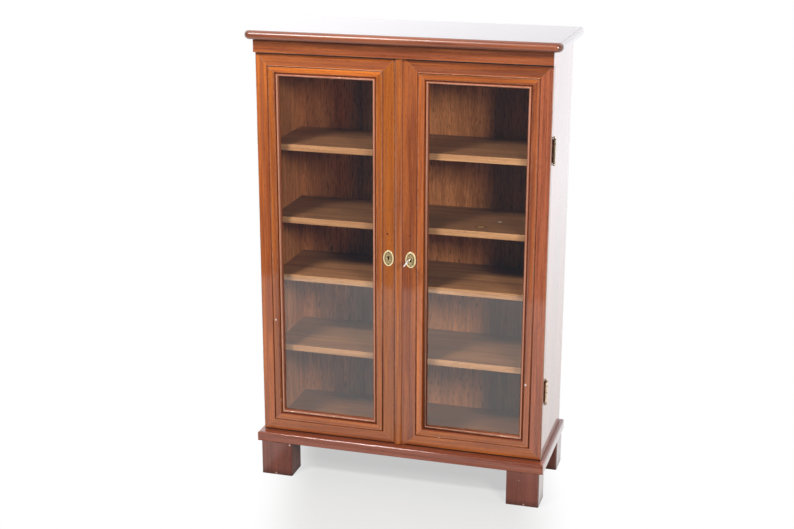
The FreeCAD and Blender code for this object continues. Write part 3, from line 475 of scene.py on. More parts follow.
class Finish(Nodes):
    """A material in the making."""

    def __init__(self, name):
        self.material = bpy.data.materials.new(name)
        self.material.use_nodes = True
        super().__init__(self.material.node_tree)

    def place(self):
        """Point on the piece, in metres."""
        return self.add("ShaderNodeTexCoord").outputs["Object"]

    def along(self, axis):
        """Where a point on the piece is along an axis."""
        return self.part(self.place(), axis)

    def away_from(self, value, middle):
        """How far a value is from a middle."""
        return self.maths("ABSOLUTE", self.maths("SUBTRACT", value, middle))

    def drawn_out(self, axis, across, along, shift):
        """Point on the piece, scaled so that a pattern is longer along one axis."""
        scale = [1 / across] * 3
        scale[axis] = 1 / along
        moves = {"Vector": self.place(), "Location": shift, "Scale": scale}
        return self.add("ShaderNodeMapping", moves).outputs[0]

    def noise(self, vector, detail=2.0, roughness=0.5, distortion=0.0, scale=1.0):
        """Cloudy value from 0 to 1."""
        return self.add("ShaderNodeTexNoise", {"Vector": vector, "Scale": scale, "Detail": detail,
                                               "Roughness": roughness, "Distortion": distortion}).outputs[0]

    def bump(self, strength, distance, height):
        """Normal that a height gives."""
        return self.add("ShaderNodeBump", {"Strength": strength, "Distance": distance,
                                           "Height": height}).outputs[0]

    def rubbed_edge(self, radius):
        """Value that is 0 on open faces and rises to 1 on outer edges."""
        face = self.add("ShaderNodeNewGeometry").outputs["Normal"]
        round_face = self.add("ShaderNodeBevel", {"Radius": radius}, samples=4).outputs[0]
        return self.eased(self.vector_maths("DOT_PRODUCT", face, round_face), *RUBBED_LEVELS)

    def crevice(self, distance):
        """Value that is 1 in the open and falls in corners and grooves."""
        return self.add("ShaderNodeAmbientOcclusion", {"Distance": distance}, samples=4).outputs["AO"]

    def outside(self, low, high):
        """Distance of a point from the edge of an upright rectangle, below 0 within it."""
        spans = []
        for axis in (X_AXIS, Z_AXIS):
            away = self.away_from(self.along(axis), (low[axis] + high[axis]) / 2)
            spans.append(self.maths("SUBTRACT", away, (high[axis] - low[axis]) / 2))
        return self.maths("MAXIMUM", *spans)

    def spot(self, centre, radius):
        """Value that is 1 in the inner half of a spot and 0 outside it."""
        return self.eased(self.vector_maths("DISTANCE", self.place(), centre), radius, radius / 2)

    def dimmed(self, colour, level):
        """Colour made darker by a level from 0 to 1."""
        grey = self.add("ShaderNodeCombineColor", {0: level, 1: level, 2: level}).outputs[0]
        return self.mixed(1.0, colour, grey, "MULTIPLY")

    def surface(self, **inputs):
        """Ends the material in one glossy surface."""
        values = {name.replace("_", " "): value for name, value in inputs.items()}
        return self.ended(self.add("ShaderNodeBsdfPrincipled", values).outputs[0])

    def ended(self, shader):
        """Ends the material in a shader."""
        self.add("ShaderNodeOutputMaterial", {"Surface": shader})
        return self.material


class Timber:
    """How a kind of wood looks: its colours, the sizes of its grain, its wear and its polish."""

    def __init__(self, light, dark, worn, gloss, streak=(0.0, 0.0, 0.0), streaks=0.0, ribbon=14 * MM,
                 line=4.0 * MM, pore=0.9 * MM, pore_depth=0.5, wear=0.5, dirt_and_shade=0.35, run=40, wave=0.0,
                 polish=FINE_POLISH):
        self.light = opaque(light)
        self.dark = opaque(dark)
        self.pore_colour = opaque(scaled(dark, PORE_TONE))
        self.worn = opaque(worn)
        self.streak = opaque(streak)
        self.streaks = streaks
        self.gloss = gloss
        self.ribbon = ribbon
        self.line = line
        self.pore = pore
        self.pore_depth = pore_depth
        self.wear = wear
        self.dirt_and_shade = dirt_and_shade
        self.run = run
        self.wave = wave
        self.polish = polish


def opaque(colour):
    """Colour with its alpha, as a socket takes it."""
    return (*colour, 1.0)


def scaled(parts, times):
    """Colour or place with each of its parts multiplied."""
    return tuple(times * part for part in parts)


def blended(first, second, share):
    """Colour a share of the way from one to another."""
    return tuple(a + (b - a) * share for a, b in zip(first, second))


def shift_for(name):
    """Place in the endless grain pattern where a piece is cut, always the same for its name."""
    draw = random.Random(name)
    return tuple(draw.uniform(-GRAIN_SHIFT, GRAIN_SHIFT) for _ in range(3))


def grain(finish, timber, axis, shift):
    """Colour of bare wood with its grain along an axis, its fine lines and its open pores."""
    width = timber.ribbon
    figure = finish.noise(finish.drawn_out(axis, FIGURE_WIDTH * width, FIGURE_RUN, shift),
                          detail=3.0, roughness=0.55, distortion=0.6)
    ribbon = finish.noise(finish.drawn_out(axis, width, RIBBON_RUN, shift),
                          detail=3.0, roughness=0.6, distortion=0.3)
    line = finish.noise(finish.drawn_out(axis, timber.line, timber.run * timber.line, shift),
                        roughness=0.6, distortion=timber.wave)
    pore = finish.noise(finish.drawn_out(axis, timber.pore, PORE_RUN * timber.pore, shift), detail=1.0)
    vein = finish.noise(finish.drawn_out(axis, VEIN_WIDTH * width, VEIN_RUN, shift[::-1]),
                        detail=3.0, roughness=0.6, distortion=0.4)
    tone = finish.maths("MULTIPLY", figure, FIGURE_SHARE)
    tone = finish.maths("MULTIPLY_ADD", ribbon, RIBBON_SHARE, tone)
    tone = finish.maths("MULTIPLY_ADD", line, LINE_SHARE, tone)
    colour = finish.mixed(finish.eased(tone, *PALE_LEVELS), timber.dark, timber.light)
    streaked = finish.maths("MULTIPLY", finish.eased(vein, *VEIN_LEVELS), timber.streaks)
    colour = finish.mixed(streaked, colour, timber.streak)
    open_pore = finish.eased(pore, *PORE_LEVELS)
    pored = finish.maths("MULTIPLY", open_pore, timber.pore_depth)
    colour = finish.mixed(pored, colour, timber.pore_colour)
    return colour, line, open_pore


def with_lines(finish, colour, coat, seams):
    """Colour and coat of wood with lines painted round a rectangle, mostly painted shade and painted highlights.
    """
    low, high, lines = seams
    reach = finish.outside(low, high)
    stop = low.y + LINE_DEPTH
    at_front = finish.eased(finish.along(Y_AXIS), stop + LINE_STOP, stop - LINE_STOP)
    for middle, half, paint in lines:
        away = finish.away_from(reach, middle)
        line = finish.eased(away, (1 + LINE_FADE) * half, (1 - LINE_FADE) * half)
        line = finish.maths("MULTIPLY", line, at_front)
        colour = finish.mixed(line, colour, opaque(paint))
        coat = finish.maths("MULTIPLY", coat, finish.maths("SUBTRACT", 1.0, line))
    return colour, coat


def with_painted_shadow_strips(finish, colour, strips):
    """Colour of wood with darker upright strips painted on what lies before a depth: painted shadow of the door
    stiles.
    """
    depth, lines = strips
    within = finish.eased(finish.along(Y_AXIS), depth + MM, depth - MM)
    darkest, end = STRIP_FADE
    for middle, half in lines:
        away = finish.away_from(finish.along(X_AXIS), middle)
        dark = finish.dimmed(colour, finish.eased(away, half + darkest, half + end, STRIP_SHADE, 1.0))
        colour = finish.mixed(within, colour, dark)
    return colour


def timber_finish(name, timber, axis, marks=(), height_darkening=None, seams=None, strips=None):
    """Polished wood with its grain along an axis.

    Marks are (middle, radius, colour) of old damage and of painted shade in holes, in millimetres.
    Height darkening is (start, end, level): the wood darkens from one height to another, to that level;
    on the frieze and door rails it is painted shade. Seams are (low, high, lines): lines round a
    rectangle, each a distance from its edge, half a width and a colour, mostly painted shade and
    painted highlights. Strips are (depth, lines): upright strips of painted shadow on what lies before
    that depth, each a middle and half a width.
    """
    finish = Finish(name)
    colour, line, open_pore = grain(finish, timber, axis, shift_for(name))
    patches = finish.noise(finish.place(), detail=3.0, roughness=0.6, scale=WORN_PATCHES)
    patchy = finish.eased(patches, *WORN_LEVELS)
    rubbed = finish.maths("MULTIPLY", finish.rubbed_edge(WORN_EDGE), patchy)
    rubbed = finish.maths("MULTIPLY", rubbed, timber.wear)
    colour = finish.mixed(rubbed, colour, timber.worn)
    # darker in corners and grooves: dirt, and painted shade where shade falls there
    open_face = finish.crevice(CORNER_REACH)
    colour = finish.dimmed(colour, finish.eased(open_face, 0.0, DIRT_AND_SHADE_END, 1.0 - timber.dirt_and_shade, 1.0))
    coat = finish.eased(open_face, *POLISH_LEVELS, 0.0, timber.gloss)
    if seams is not None:
        colour, coat = with_lines(finish, colour, coat, seams)
    if height_darkening is not None:
        start, end, level = height_darkening
        colour = finish.dimmed(colour, finish.eased(finish.along(Z_AXIS), start, end, 1.0, level))
    if strips is not None:
        colour = with_painted_shadow_strips(finish, colour, strips)
    for centre, radius, paint in marks:
        colour = finish.mixed(finish.spot(scaled(centre, MM), radius * MM), colour, opaque(paint))
    bare = DULL_ROUGHNESS - GLOSS_ROUGHNESS * timber.gloss
    rough = finish.maths("MULTIPLY_ADD", line, LINE_ROUGHNESS, bare)
    rough = finish.maths("MULTIPLY_ADD", rubbed, WORN_ROUGHNESS, rough, clamp=True)
    height = finish.maths("SUBTRACT", finish.maths("MULTIPLY", line, LINE_RELIEF), open_pore)
    return finish.surface(Base_Color=colour, Roughness=rough, IOR=VARNISH_IOR, Specular_IOR_Level=0.2,
                          Coat_Weight=coat, Coat_Roughness=timber.polish, Coat_IOR=VARNISH_IOR,
                          Normal=finish.bump(GRAIN_STRENGTH, GRAIN_RELIEF, height))


def metal_finish(name, bright, dull, dullness, polish, metallic=1.0, slotted=False):
    """Old metal, bright where it is handled and dull in its corners, with painted shade in the slots of screws."""
    finish = Finish(name)
    cloud = finish.noise(finish.place(), detail=4.0, roughness=0.6, distortion=0.4, scale=CLOUDS)
    corner = finish.eased(finish.crevice(DULL_CORNER), *DULL_CORNER_LEVELS)
    spread = [level - pull * dullness for level, pull in DULL_SPREAD]
    aged = finish.maths("ADD", finish.eased(cloud, *spread), corner, clamp=True)
    colour = finish.mixed(aged, opaque(bright), opaque(dull))
    if slotted:
        slot = finish.add("ShaderNodeAttribute", attribute_name="slot").outputs["Fac"]
        colour = finish.dimmed(colour, finish.eased(slot, 0.0, 1.0, 1.0, SLOT_SHADE))
    rough = finish.maths("MULTIPLY_ADD", aged, AGED_ROUGHNESS, BRIGHT_ROUGHNESS - POLISH_GAIN * polish)
    return finish.surface(Base_Color=colour, Metallic=metallic, Roughness=rough, Normal=specks(finish))


def specks(finish):
    """Normal of cast or rolled metal."""
    return finish.bump(METAL_STRENGTH, METAL_RELIEF, finish.noise(finish.place(), scale=SPECKS))


def escutcheon_finish(node):
    """Pale brass plate, bright on its raised rim and darker within it."""
    metals = bpy.context.scene.bookcase_metals
    finish = Finish(node + "_brass")
    low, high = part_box(node)
    middle = (low + high) / 2
    half = (high - low) / 2
    moves = {"Vector": finish.place(), "Scale": (1 / half.x, 0.0, 1 / half.z),
             "Location": (-middle.x / half.x, 0.0, -middle.z / half.z)}
    from_middle = finish.vector_maths("LENGTH", finish.add("ShaderNodeMapping", moves).outputs[0])
    field = finish.eased(from_middle, *FIELD_EDGE)
    mottle = finish.noise(finish.place(), detail=3.0, roughness=0.6, distortion=0.4, scale=MOTTLE)
    aged = finish.maths("MULTIPLY", field, finish.eased(mottle, *MOTTLE_LEVELS))
    corner = finish.eased(finish.crevice(PLATE_CORNER), *PLATE_CORNER_LEVELS)
    aged = finish.maths("ADD", aged, corner, clamp=True)
    colour = finish.mixed(aged, opaque(metals.lacquered), opaque(metals.tarnished_plate))
    rough = finish.eased(aged, 0.0, 1.0, *PLATE_ROUGHNESS)
    return finish.surface(Base_Color=colour, Metallic=PLATE_METAL, Roughness=rough, Normal=specks(finish))


def glass_finish(name):
    """Old drawn glass: faintly wavy and tinted, and clear to lamps."""
    finish = Finish(name)
    wave = finish.noise(finish.drawn_out(X_AXIS, WAVE_WIDTH, WAVE_RUN, shift_for(name)), detail=1.0)
    bump = finish.bump(WAVE_STRENGTH, WAVE_RELIEF, wave)
    pane = finish.add("ShaderNodeBsdfPrincipled", {"Base Color": GLASS_TINT, "Roughness": 0.0,
                                                   "IOR": GLASS_IOR, "Transmission Weight": 1.0,
                                                   "Normal": bump})
    clear = finish.add("ShaderNodeBsdfTransparent", {"Color": GLASS_SHADE})
    path = finish.add("ShaderNodeLightPath").outputs
    lit = finish.maths("MAXIMUM", path["Is Shadow Ray"], path["Is Diffuse Ray"])
    shader = finish.add("ShaderNodeMixShader", {0: lit, 1: pane.outputs[0], 2: clear.outputs[0]})
    return finish.ended(shader.outputs[0])


def islands(mesh):
    """Faces of a mesh in groups that hang together."""
    waiting = set(mesh.faces)
    groups = []
    while waiting:
        edge_of_group = [waiting.pop()]
        group = []
        while edge_of_group:
            face = edge_of_group.pop()
            group.append(face)
            for edge in face.edges:
                for other in edge.link_faces:
                    if other in waiting:
                        waiting.remove(other)
                        edge_of_group.append(other)
        groups.append(group)
    return groups


def longest_axis(faces):
    """Axis along which a group of faces is longest, which is how its grain runs."""
    points = [vertex.co for face in faces for vertex in face.verts]
    spans = [max(p[axis] for p in points) - min(p[axis] for p in points) for axis in range(3)]
    return spans.index(max(spans))


def merged_copy(node, soft_edge):
    """Editable copy of a node's mesh with whole faces and slightly rounded edges."""
    mesh = bmesh.new()
    mesh.from_mesh(frame["nodes"][node].data)
    bmesh.ops.remove_doubles(mesh, verts=mesh.verts, dist=WELD)
    bmesh.ops.dissolve_limit(mesh, angle_limit=FLAT_ANGLE, verts=mesh.verts, edges=mesh.edges)
    if soft_edge > 0:
        shortest = SHORT_EDGE * soft_edge
        sharp = [edge for edge in mesh.edges if len(edge.link_faces) == 2
                 and edge.calc_length() > shortest and edge.calc_face_angle() > SHARP_ANGLE]
        bmesh.ops.bevel(mesh, geom=sharp, offset=soft_edge, offset_type="OFFSET", segments=ROUNDING_STEPS,
                        profile=0.5, affect="EDGES", clamp_overlap=True)
    return mesh


def linked(name, data):
    """New object in the scene."""
    thing = bpy.data.objects.new(name, data)
    bpy.context.scene.collection.objects.link(thing)
    return thing


def shaded(name, mesh, materials):
    """New object from an edited mesh, shaded smooth over its rounds and flat on its faces."""
    data = bpy.data.meshes.new(name)
    mesh.to_mesh(data)
    mesh.free()
    for material in materials:
        data.materials.append(material)
    data.shade_smooth()
    data.set_sharp_from_angle(angle=SMOOTH_ANGLE)
    piece = linked(name, data)
    piece.modifiers.new("weighted_normal", "WEIGHTED_NORMAL").keep_sharp = True
    return plain(piece)


def plain(piece):
    """The piece with what its modifiers make as its plain mesh, and no modifiers."""
    bpy.context.view_layer.update()
    evaluated = piece.evaluated_get(bpy.context.evaluated_depsgraph_get())
    made = bpy.data.meshes.new_from_object(evaluated)
    piece.modifiers.clear()
    old = piece.data
    piece.data = made
    bpy.data.meshes.remove(old)
    made.name = piece.name
    return piece


def stands_for(piece, node):
    """Puts a finished piece in a node's place."""
    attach(piece, BODY_OF[node])
    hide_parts(node)


def wooden(node, timber, band=None, height_darkening=None, seams=None, strips=None):
    """Puts a finished copy in a wooden node's place; band is a test for faces and the timber of those."""
    mesh = merged_copy(node, bpy.context.scene.bookcase_timbers.soft_edge)
    materials = []
    made = {}
    for group in islands(mesh):
        axis = longest_axis(group)
        for face in group:
            banded = band is not None and band[0](face)
            key = (axis, banded)
            if key not in made:
                made[key] = len(materials)
                title = "%s_%s%s" % (node, "xyz"[axis], "_band" if banded else "")
                wood = band[1] if banded else timber
                materials.append(timber_finish(title, wood, axis, MARKS.get(node, ()), height_darkening, seams, strips))
            face.material_index = made[key]
    stands_for(shaded(node + "_finished", mesh, materials), node)


def metal(node, material):
    """Puts a finished copy in a metal node's place, with its edges as they are."""
    stands_for(shaded(node + "_finished", merged_copy(node, 0.0), [material]), node)


def looks_along(axis, way, least):
    """Test for faces that look along an axis, up it where way is 1 and down it where way is -1."""
    return lambda face: way * face.normal[axis] > least


def off_the_front(face):
    """Whether a face of the top board is its upper face or on its ends."""
    return face.normal.z > FLAT_FACE or abs(face.normal.x) > END_FACE


def near_rectangle(low, high, reach):
    """Test for faces whose middle is in an upright rectangle, or nearer to it than reach."""

    def test(face):
        point = face.calc_center_median()
        return (low.x - reach < point.x < high.x + reach
                and low.z - reach < point.z < high.z + reach)

    return test


def mahogany(share, light, polish=FINE_POLISH):
    """Mahogany with a share of the redder stain, a lightness and how rough its polish is."""
    woods = bpy.context.scene.bookcase_timbers
    pale = scaled(blended(woods.amber_light, woods.russet_light, share), light)
    deep = scaled(blended(woods.amber_dark, woods.russet_dark, share), light)
    return Timber(pale, deep, woods.worn, gloss=1.0, streak=woods.streak, streaks=0.45, wear=woods.wear,
                  dirt_and_shade=0.2, polish=polish)


def base_wood(is_foot):
    """Mahogany of the base frame, or that of the feet, whose edges are rubbed all over."""
    woods = bpy.context.scene.bookcase_timbers
    pale = woods.foot_light if is_foot else woods.base_light
    deep = woods.foot_dark if is_foot else woods.base_dark
    wear = 1.0 if is_foot else woods.wear
    return Timber(pale, deep, woods.worn, gloss=0.95, ribbon=18 * MM, wear=wear)


def bead_wood():
    """Paler, rubbed mahogany of the beads round the glass."""
    woods = bpy.context.scene.bookcase_timbers
    return Timber(woods.bead_light, woods.bead_dark, woods.worn, gloss=0.6, wear=0.3, dirt_and_shade=0.3)


def shelf_wood(pale, deep):
    """Wood of the shelves in two colours."""
    worn = bpy.context.scene.bookcase_timbers.worn
    return Timber(pale, deep, worn, gloss=0.25, ribbon=16 * MM, line=3 * MM, pore=1.0 * MM, wear=0.2)


def inside_oak(light):
    """Oak of the back, the inner faces of the sides and the hidden rails, with a lightness."""
    woods = bpy.context.scene.bookcase_timbers
    return Timber(scaled(woods.back_light, light), scaled(woods.back_dark, light), woods.worn, gloss=0.15,
                  ribbon=20 * MM, line=4.5 * MM, pore=1.6 * MM, pore_depth=0.85, wear=0.1, run=10, wave=1.0)


def head_tree(slotted):
    """Tree that sets a fastener's head on every point of a mesh, facing the way the point says."""
    tree = bpy.data.node_groups.new("slotted_heads" if slotted else "domed_heads", "GeometryNodeTree")
    sizes = ("Radius", "Height", "Slot") if slotted else ("Radius", "Height")
    tree.interface.new_socket("Geometry", in_out="INPUT", socket_type="NodeSocketGeometry")
    for size in sizes:
        tree.interface.new_socket(size, in_out="INPUT", socket_type="NodeSocketFloat")
    tree.interface.new_socket("Seed", in_out="INPUT", socket_type="NodeSocketInt")
    tree.interface.new_socket("Finish", in_out="INPUT", socket_type="NodeSocketMaterial")
    tree.interface.new_socket("Geometry", in_out="OUTPUT", socket_type="NodeSocketGeometry")
    nodes = Nodes(tree)
    given = nodes.add("NodeGroupInput").outputs
    head = slotted_head(nodes, given) if slotted else domed_head(nodes, given)
    facing = nodes.add("GeometryNodeInputNamedAttribute", {"Name": "facing"},
                       data_type="FLOAT_VECTOR").outputs[0]
    upright = nodes.add("FunctionNodeAlignRotationToVector", {"Vector": facing}, axis="Z").outputs[0]
    turn = nodes.add("FunctionNodeRandomValue", {3: 2 * math.pi, "Seed": given["Seed"]},
                     data_type="FLOAT").outputs[1]
    spin = nodes.add("FunctionNodeAxisAngleToRotation", {"Axis": (0.0, 0.0, 1.0), "Angle": turn}).outputs[0]
    turned = nodes.add("FunctionNodeRotateRotation", {"Rotation": upright, "Rotate By": spin},
                       rotation_space="LOCAL").outputs[0]
    placed = nodes.add("GeometryNodeInstanceOnPoints", {"Points": given["Geometry"], "Instance": head,
                                                        "Rotation": turned}).outputs[0]
    real = nodes.add("GeometryNodeRealizeInstances", {"Geometry": placed}).outputs[0]
    finished = nodes.add("GeometryNodeSetMaterial", {"Geometry": real, "Material": given["Finish"]})
    nodes.add("NodeGroupOutput", {"Geometry": finished.outputs[0]})
    return tree


def slotted_head(nodes, given):
    """Flat round screw head with a slot, whose faces are marked so that painted shade can darken them."""
    depth = nodes.maths("MULTIPLY", given["Height"], 2.0)
    disc = nodes.add("GeometryNodeMeshCylinder", {"Vertices": SCREW_SIDES, "Radius": given["Radius"],
                                                  "Depth": depth}).outputs[0]
    length = nodes.maths("MULTIPLY", given["Radius"], SLOT_LENGTH)
    size = nodes.add("ShaderNodeCombineXYZ", {0: length, 1: given["Slot"], 2: given["Height"]}).outputs[0]
    rise = nodes.maths("MULTIPLY", given["Height"], SLOT_LIFT)
    lift = nodes.add("ShaderNodeCombineXYZ", {2: rise}).outputs[0]
    bar = nodes.add("GeometryNodeMeshCube", {"Size": size}).outputs[0]
    bar = nodes.add("GeometryNodeTransform", {"Geometry": bar, "Translation": lift}).outputs[0]
    cut = nodes.add("GeometryNodeMeshBoolean", {"Mesh 1": disc, "Mesh 2": bar}, operation="DIFFERENCE",
                    solver="EXACT").outputs[0]
    across = nodes.part(nodes.add("GeometryNodeInputPosition").outputs[0], Y_AXIS)
    wall = nodes.maths("MULTIPLY", given["Slot"], SLOT_HALF)
    inner = nodes.maths("LESS_THAN", nodes.maths("ABSOLUTE", across), wall)
    return nodes.add("GeometryNodeStoreNamedAttribute", {"Geometry": cut, "Name": "slot", "Value": inner},
                     data_type="FLOAT", domain="FACE").outputs[0]


def domed_head(nodes, given):
    """Low dome."""
    ball = nodes.add("GeometryNodeMeshUVSphere", {"Segments": DOME_SEGMENTS, "Rings": DOME_RINGS,
                                                  "Radius": given["Radius"]}).outputs[0]
    flat = nodes.maths("DIVIDE", given["Height"], given["Radius"])
    scale = nodes.add("ShaderNodeCombineXYZ", {0: 1.0, 1: 1.0, 2: flat}).outputs[0]
    return nodes.add("GeometryNodeTransform", {"Geometry": ball, "Scale": scale}).outputs[0]


def heads(name, body, tree, places, inputs):
    """Fasteners of one body as one plain mesh.

    Places are (point, facing).
    """
    data = bpy.data.meshes.new(name)
    data.from_pydata([point for point, _ in places], [], [])
    facing = data.attributes.new("facing", "FLOAT_VECTOR", "POINT")
    for number, (_, way) in enumerate(places):
        facing.data[number].vector = way
    piece = linked(name, data)
    modifier = piece.modifiers.new("heads", "NODES")
    modifier.node_group = tree
    for item in tree.interface.items_tree:
        if item.in_out == "INPUT" and item.name in inputs:
            modifier[item.identifier] = inputs[item.name]
    plain(piece)
    piece.data.shade_smooth()
    piece.data.set_sharp_from_angle(angle=SMOOTH_ANGLE)
    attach(piece, body)


def screw_places():
    """Where the screws are, by body."""
    places = {"carcass": [], "left_door": [], "right_door": []}
    for hand, out in (("left", -1), ("right", 1)):
        door = hand + "_door"
        axis_y = JOINT[door + "_swing"]["pos_m"][Y_AXIS]
        for row in ("upper", "lower"):
            for holder, body, back in (("side", "carcass", 1), ("door", door, -1)):
                low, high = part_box("%s_%s_%s_leaf" % (hand, row, holder))
                x = (high.x - LEAF_WIDTH / 2) if out < 0 else (low.x + LEAF_WIDTH / 2)
                for step in (-1, 0, 1):
                    z = (low.z + high.z) / 2 + step * (high.z - low.z) / SCREWS_PER_LEAF
                    places[body].append(((x, axis_y + back * LEAF_GAP / 2, z), (0.0, -back, 0.0)))
    places["right_door"] += plate_corners("lock_case", LOCK_INSET, LOCK_INSET, None)
    places["left_door"] += plate_corners("lock_keeper", None, KEEPER_INSET, None)
    for guide in ("upper_bolt_guide", "lower_bolt_guide"):
        low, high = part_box(guide)
        inset = GUIDE_SCREWS * (high.z - low.z)
        places["left_door"] += plate_corners(guide, BOLT_INSET, inset, low.y + GUIDE_THICKNESS)
    low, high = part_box("bolt_sockets")
    y = (low.y + high.y) / 2
    for x in (low.x + BOLT_INSET, high.x - BOLT_INSET):
        for z, way in ((low.z + SOCKET_THICKNESS, 1.0), (high.z - SOCKET_THICKNESS, -1.0)):
            places["carcass"].append(((x, y, z), (0.0, 0.0, way)))
    return places


def plate_corners(node, inset_x, inset_z, y):
    """Screws near the corners of a plate's back, at depth y or on its rearmost face.

    With inset_x None they are in one column in the middle.
    """
    low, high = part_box(node)
    columns = [(low.x + high.x) / 2] if inset_x is None else [low.x + inset_x, high.x - inset_x]
    rear = high.y if y is None else y
    return [((x, rear, z), (0.0, 1.0, 0.0)) for x in columns for z in (low.z + inset_z, high.z - inset_z)]


def pin_places(node):
    """Where the two pins of an escutcheon are, in its groove."""
    low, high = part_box(node)
    middle = (low + high) / 2
    reach = PIN_REACH * (high.z - low.z)
    return [((middle.x, low.y + GROOVE_DEPTH, middle.z + way * reach), (0.0, -1.0, 0.0)) for way in (-1, 1)]


def nail_places():
    """Where the nails in the back boards are."""
    places = []
    for board in (name for name in OAK if name.startswith("back_board")):
        low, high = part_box(board)
        inset = NAIL_INSET * (high.x - low.x)
        for x in (low.x + inset, high.x - inset):
            for z in (low.z + NAIL_FOOT, high.z - NAIL_HEAD):
                places.append(((x, high.y, z), (0.0, 1.0, 0.0)))
    return places


class BOOKCASE_OT_case(bpy.types.Operator):
    """Finishes the top, frieze, sides, base and feet"""
    bl_idname = "bookcase.case"
    bl_label = "Case"

    def execute(self, context):
        share, light = MAHOGANY["top_board"]
        # upper face and ends in darker mahogany: painted shade against the stronger light on them
        upper = mahogany(share, TOP_FACE_SHADED_LIGHT * light)
        wooden("top_board", mahogany(share, light, SOFT_POLISH), (off_the_front, upper))
        low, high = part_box("frieze_rail")
        tall = high.z - low.z
        # the frieze darkens towards its top: painted shadow of the top board's overhang
        start, end, level = FRIEZE_SHADOW
        wooden("frieze_rail", mahogany(*MAHOGANY["frieze_rail"]),
               height_darkening=(low.z + start * tall, low.z + end * tall, level))
        for node, inward in (("left_side", 1), ("right_side", -1)):
            inner_face = looks_along(X_AXIS, inward, FLAT_FACE)
            wooden(node, mahogany(*MAHOGANY[node]), (inner_face, inside_oak(INNER_SIDE_LIGHT)))
        for node in BASE_NODES:
            is_foot = node.endswith("foot")
            wooden(node, base_wood(is_foot), height_darkening=FOOT_DARKENING if is_foot else None)
        return {"FINISHED"}


class BOOKCASE_OT_inside(bpy.types.Operator):
    """Finishes the shelves, their pegs, the back and the hidden rails"""
    bl_idname = "bookcase.inside"
    bl_label = "Inside"

    def execute(self, context):
        woods = context.scene.bookcase_timbers
        edge = shelf_wood(woods.edge_light, woods.edge_dark)
        front_edge = looks_along(Y_AXIS, -1, EDGE_FACE)
        for node, light in SHELVES.items():
            board = shelf_wood(scaled(woods.shelf_light, light), scaled(woods.shelf_dark, light))
            wooden(node, board, (front_edge, edge))
        for node, light in OAK.items():
            low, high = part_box(node)
            # the back boards take upright strips of painted shadow where the door stiles shade them
            strips = ((low.y + high.y) / 2, PAINTED_SHADOW_STRIPS) if node.startswith("back_board") else None
            wooden(node, inside_oak(light), strips=strips)
        return {"FINISHED"}


class BOOKCASE_OT_doors(bpy.types.Operator):
    """Finishes the frames, beads, stops and glass of both doors"""
    bl_idname = "bookcase.doors"
    bl_label = "Doors"

    def execute(self, context):
        for door in ("left_door", "right_door"):
            low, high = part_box(door + "_sight_bead")
            in_band = near_rectangle(low, high, MOULDED_BAND)
            for member, lines in FRAME_LINES.items():
                node = "%s_%s" % (door, member)
                share, flat, band = FRAMES[node]
                wooden(node, mahogany(share, flat), (in_band, mahogany(BAND_STAIN * share, band)),
                       self.height_darkening(node), (low, high, lines))
            wooden(door + "_sight_bead", bead_wood(), seams=(low, high, BEAD_LINES))
            wooden(door + "_glazing_stops", mahogany(*MAHOGANY[door + "_glazing_stops"]))
            pane = frame["nodes"][door + "_glass"]
            pane.data.materials.clear()
            pane.data.materials.append(glass_finish(door + "_pane"))
        wooden("astragal", mahogany(*MAHOGANY["astragal"]))
        return {"FINISHED"}

    @staticmethod
    def height_darkening(node):
        """Heights of painted shade on the outer edge of a rail, in its gap by the frieze or the base, and its
        level; none on a stile.
        """
        start, end, level = RAIL_SHADE
        low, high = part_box(node)
        if node.endswith("top_rail"):
            return high.z - start, high.z - end, level
        if node.endswith("bottom_rail"):
            return low.z + start, low.z + end, level
        return None


class BOOKCASE_OT_fittings(bpy.types.Operator):
    """Finishes the hinges, escutcheons, lock, key and bolts"""
    bl_idname = "bookcase.fittings"
    bl_label = "Fittings"

    def execute(self, context):
        metals = context.scene.bookcase_metals
        aged_brass = metal_finish("aged_brass", metals.brass, metals.tarnish, dullness=0.5, polish=0.8)
        old_steel = metal_finish("old_steel", metals.steel, metals.rust, dullness=0.5, polish=0.4)
        plated = metal_finish("plated", metals.nickel, metals.rust, dullness=0.0, polish=0.6, metallic=0.5)
        for node in BRASS_NODES:
            metal(node, escutcheon_finish(node) if "escutcheon" in node else aged_brass)
        for node in STEEL_NODES:
            metal(node, old_steel)
        metal("key", plated)
        return {"FINISHED"}


class BOOKCASE_OT_fasteners(bpy.types.Operator):
    """Adds the screws, pins and nails"""
    bl_idname = "bookcase.fasteners"
    bl_label = "Fasteners"

    def execute(self, context):
        metals = context.scene.bookcase_metals
        screw = metal_finish("screw", metals.steel, metals.rust, dullness=0.4, polish=0.4, slotted=True)
        pin = metal_finish("pin", metals.pin, metals.pin, dullness=0.9, polish=0.2, metallic=0.2)
        nail = metal_finish("nail", metals.rust, metals.rust, dullness=0.9, polish=0.1)
        screws = {"Radius": metals.screw_radius, "Height": metals.screw_height, "Slot": metals.slot_width,
                  "Seed": metals.seed, "Finish": screw}
        pins = {"Radius": metals.pin_radius, "Height": metals.pin_height, "Seed": metals.seed,
                "Finish": pin}
        nails = {"Radius": metals.nail_radius, "Height": metals.nail_height, "Seed": metals.seed,
                 "Finish": nail}
        slotted = head_tree(True)
        domed = head_tree(False)
        for body, places in screw_places().items():
            heads(body + "_screws", body, slotted, places, screws)
        for door in ("left_door", "right_door"):
            plate = door + "_escutcheon"
            heads(door + "_pins", door, domed, pin_places(plate), pins)
        heads("carcass_nails", "carcass", domed, nail_places(), nails)
        return {"FINISHED"}


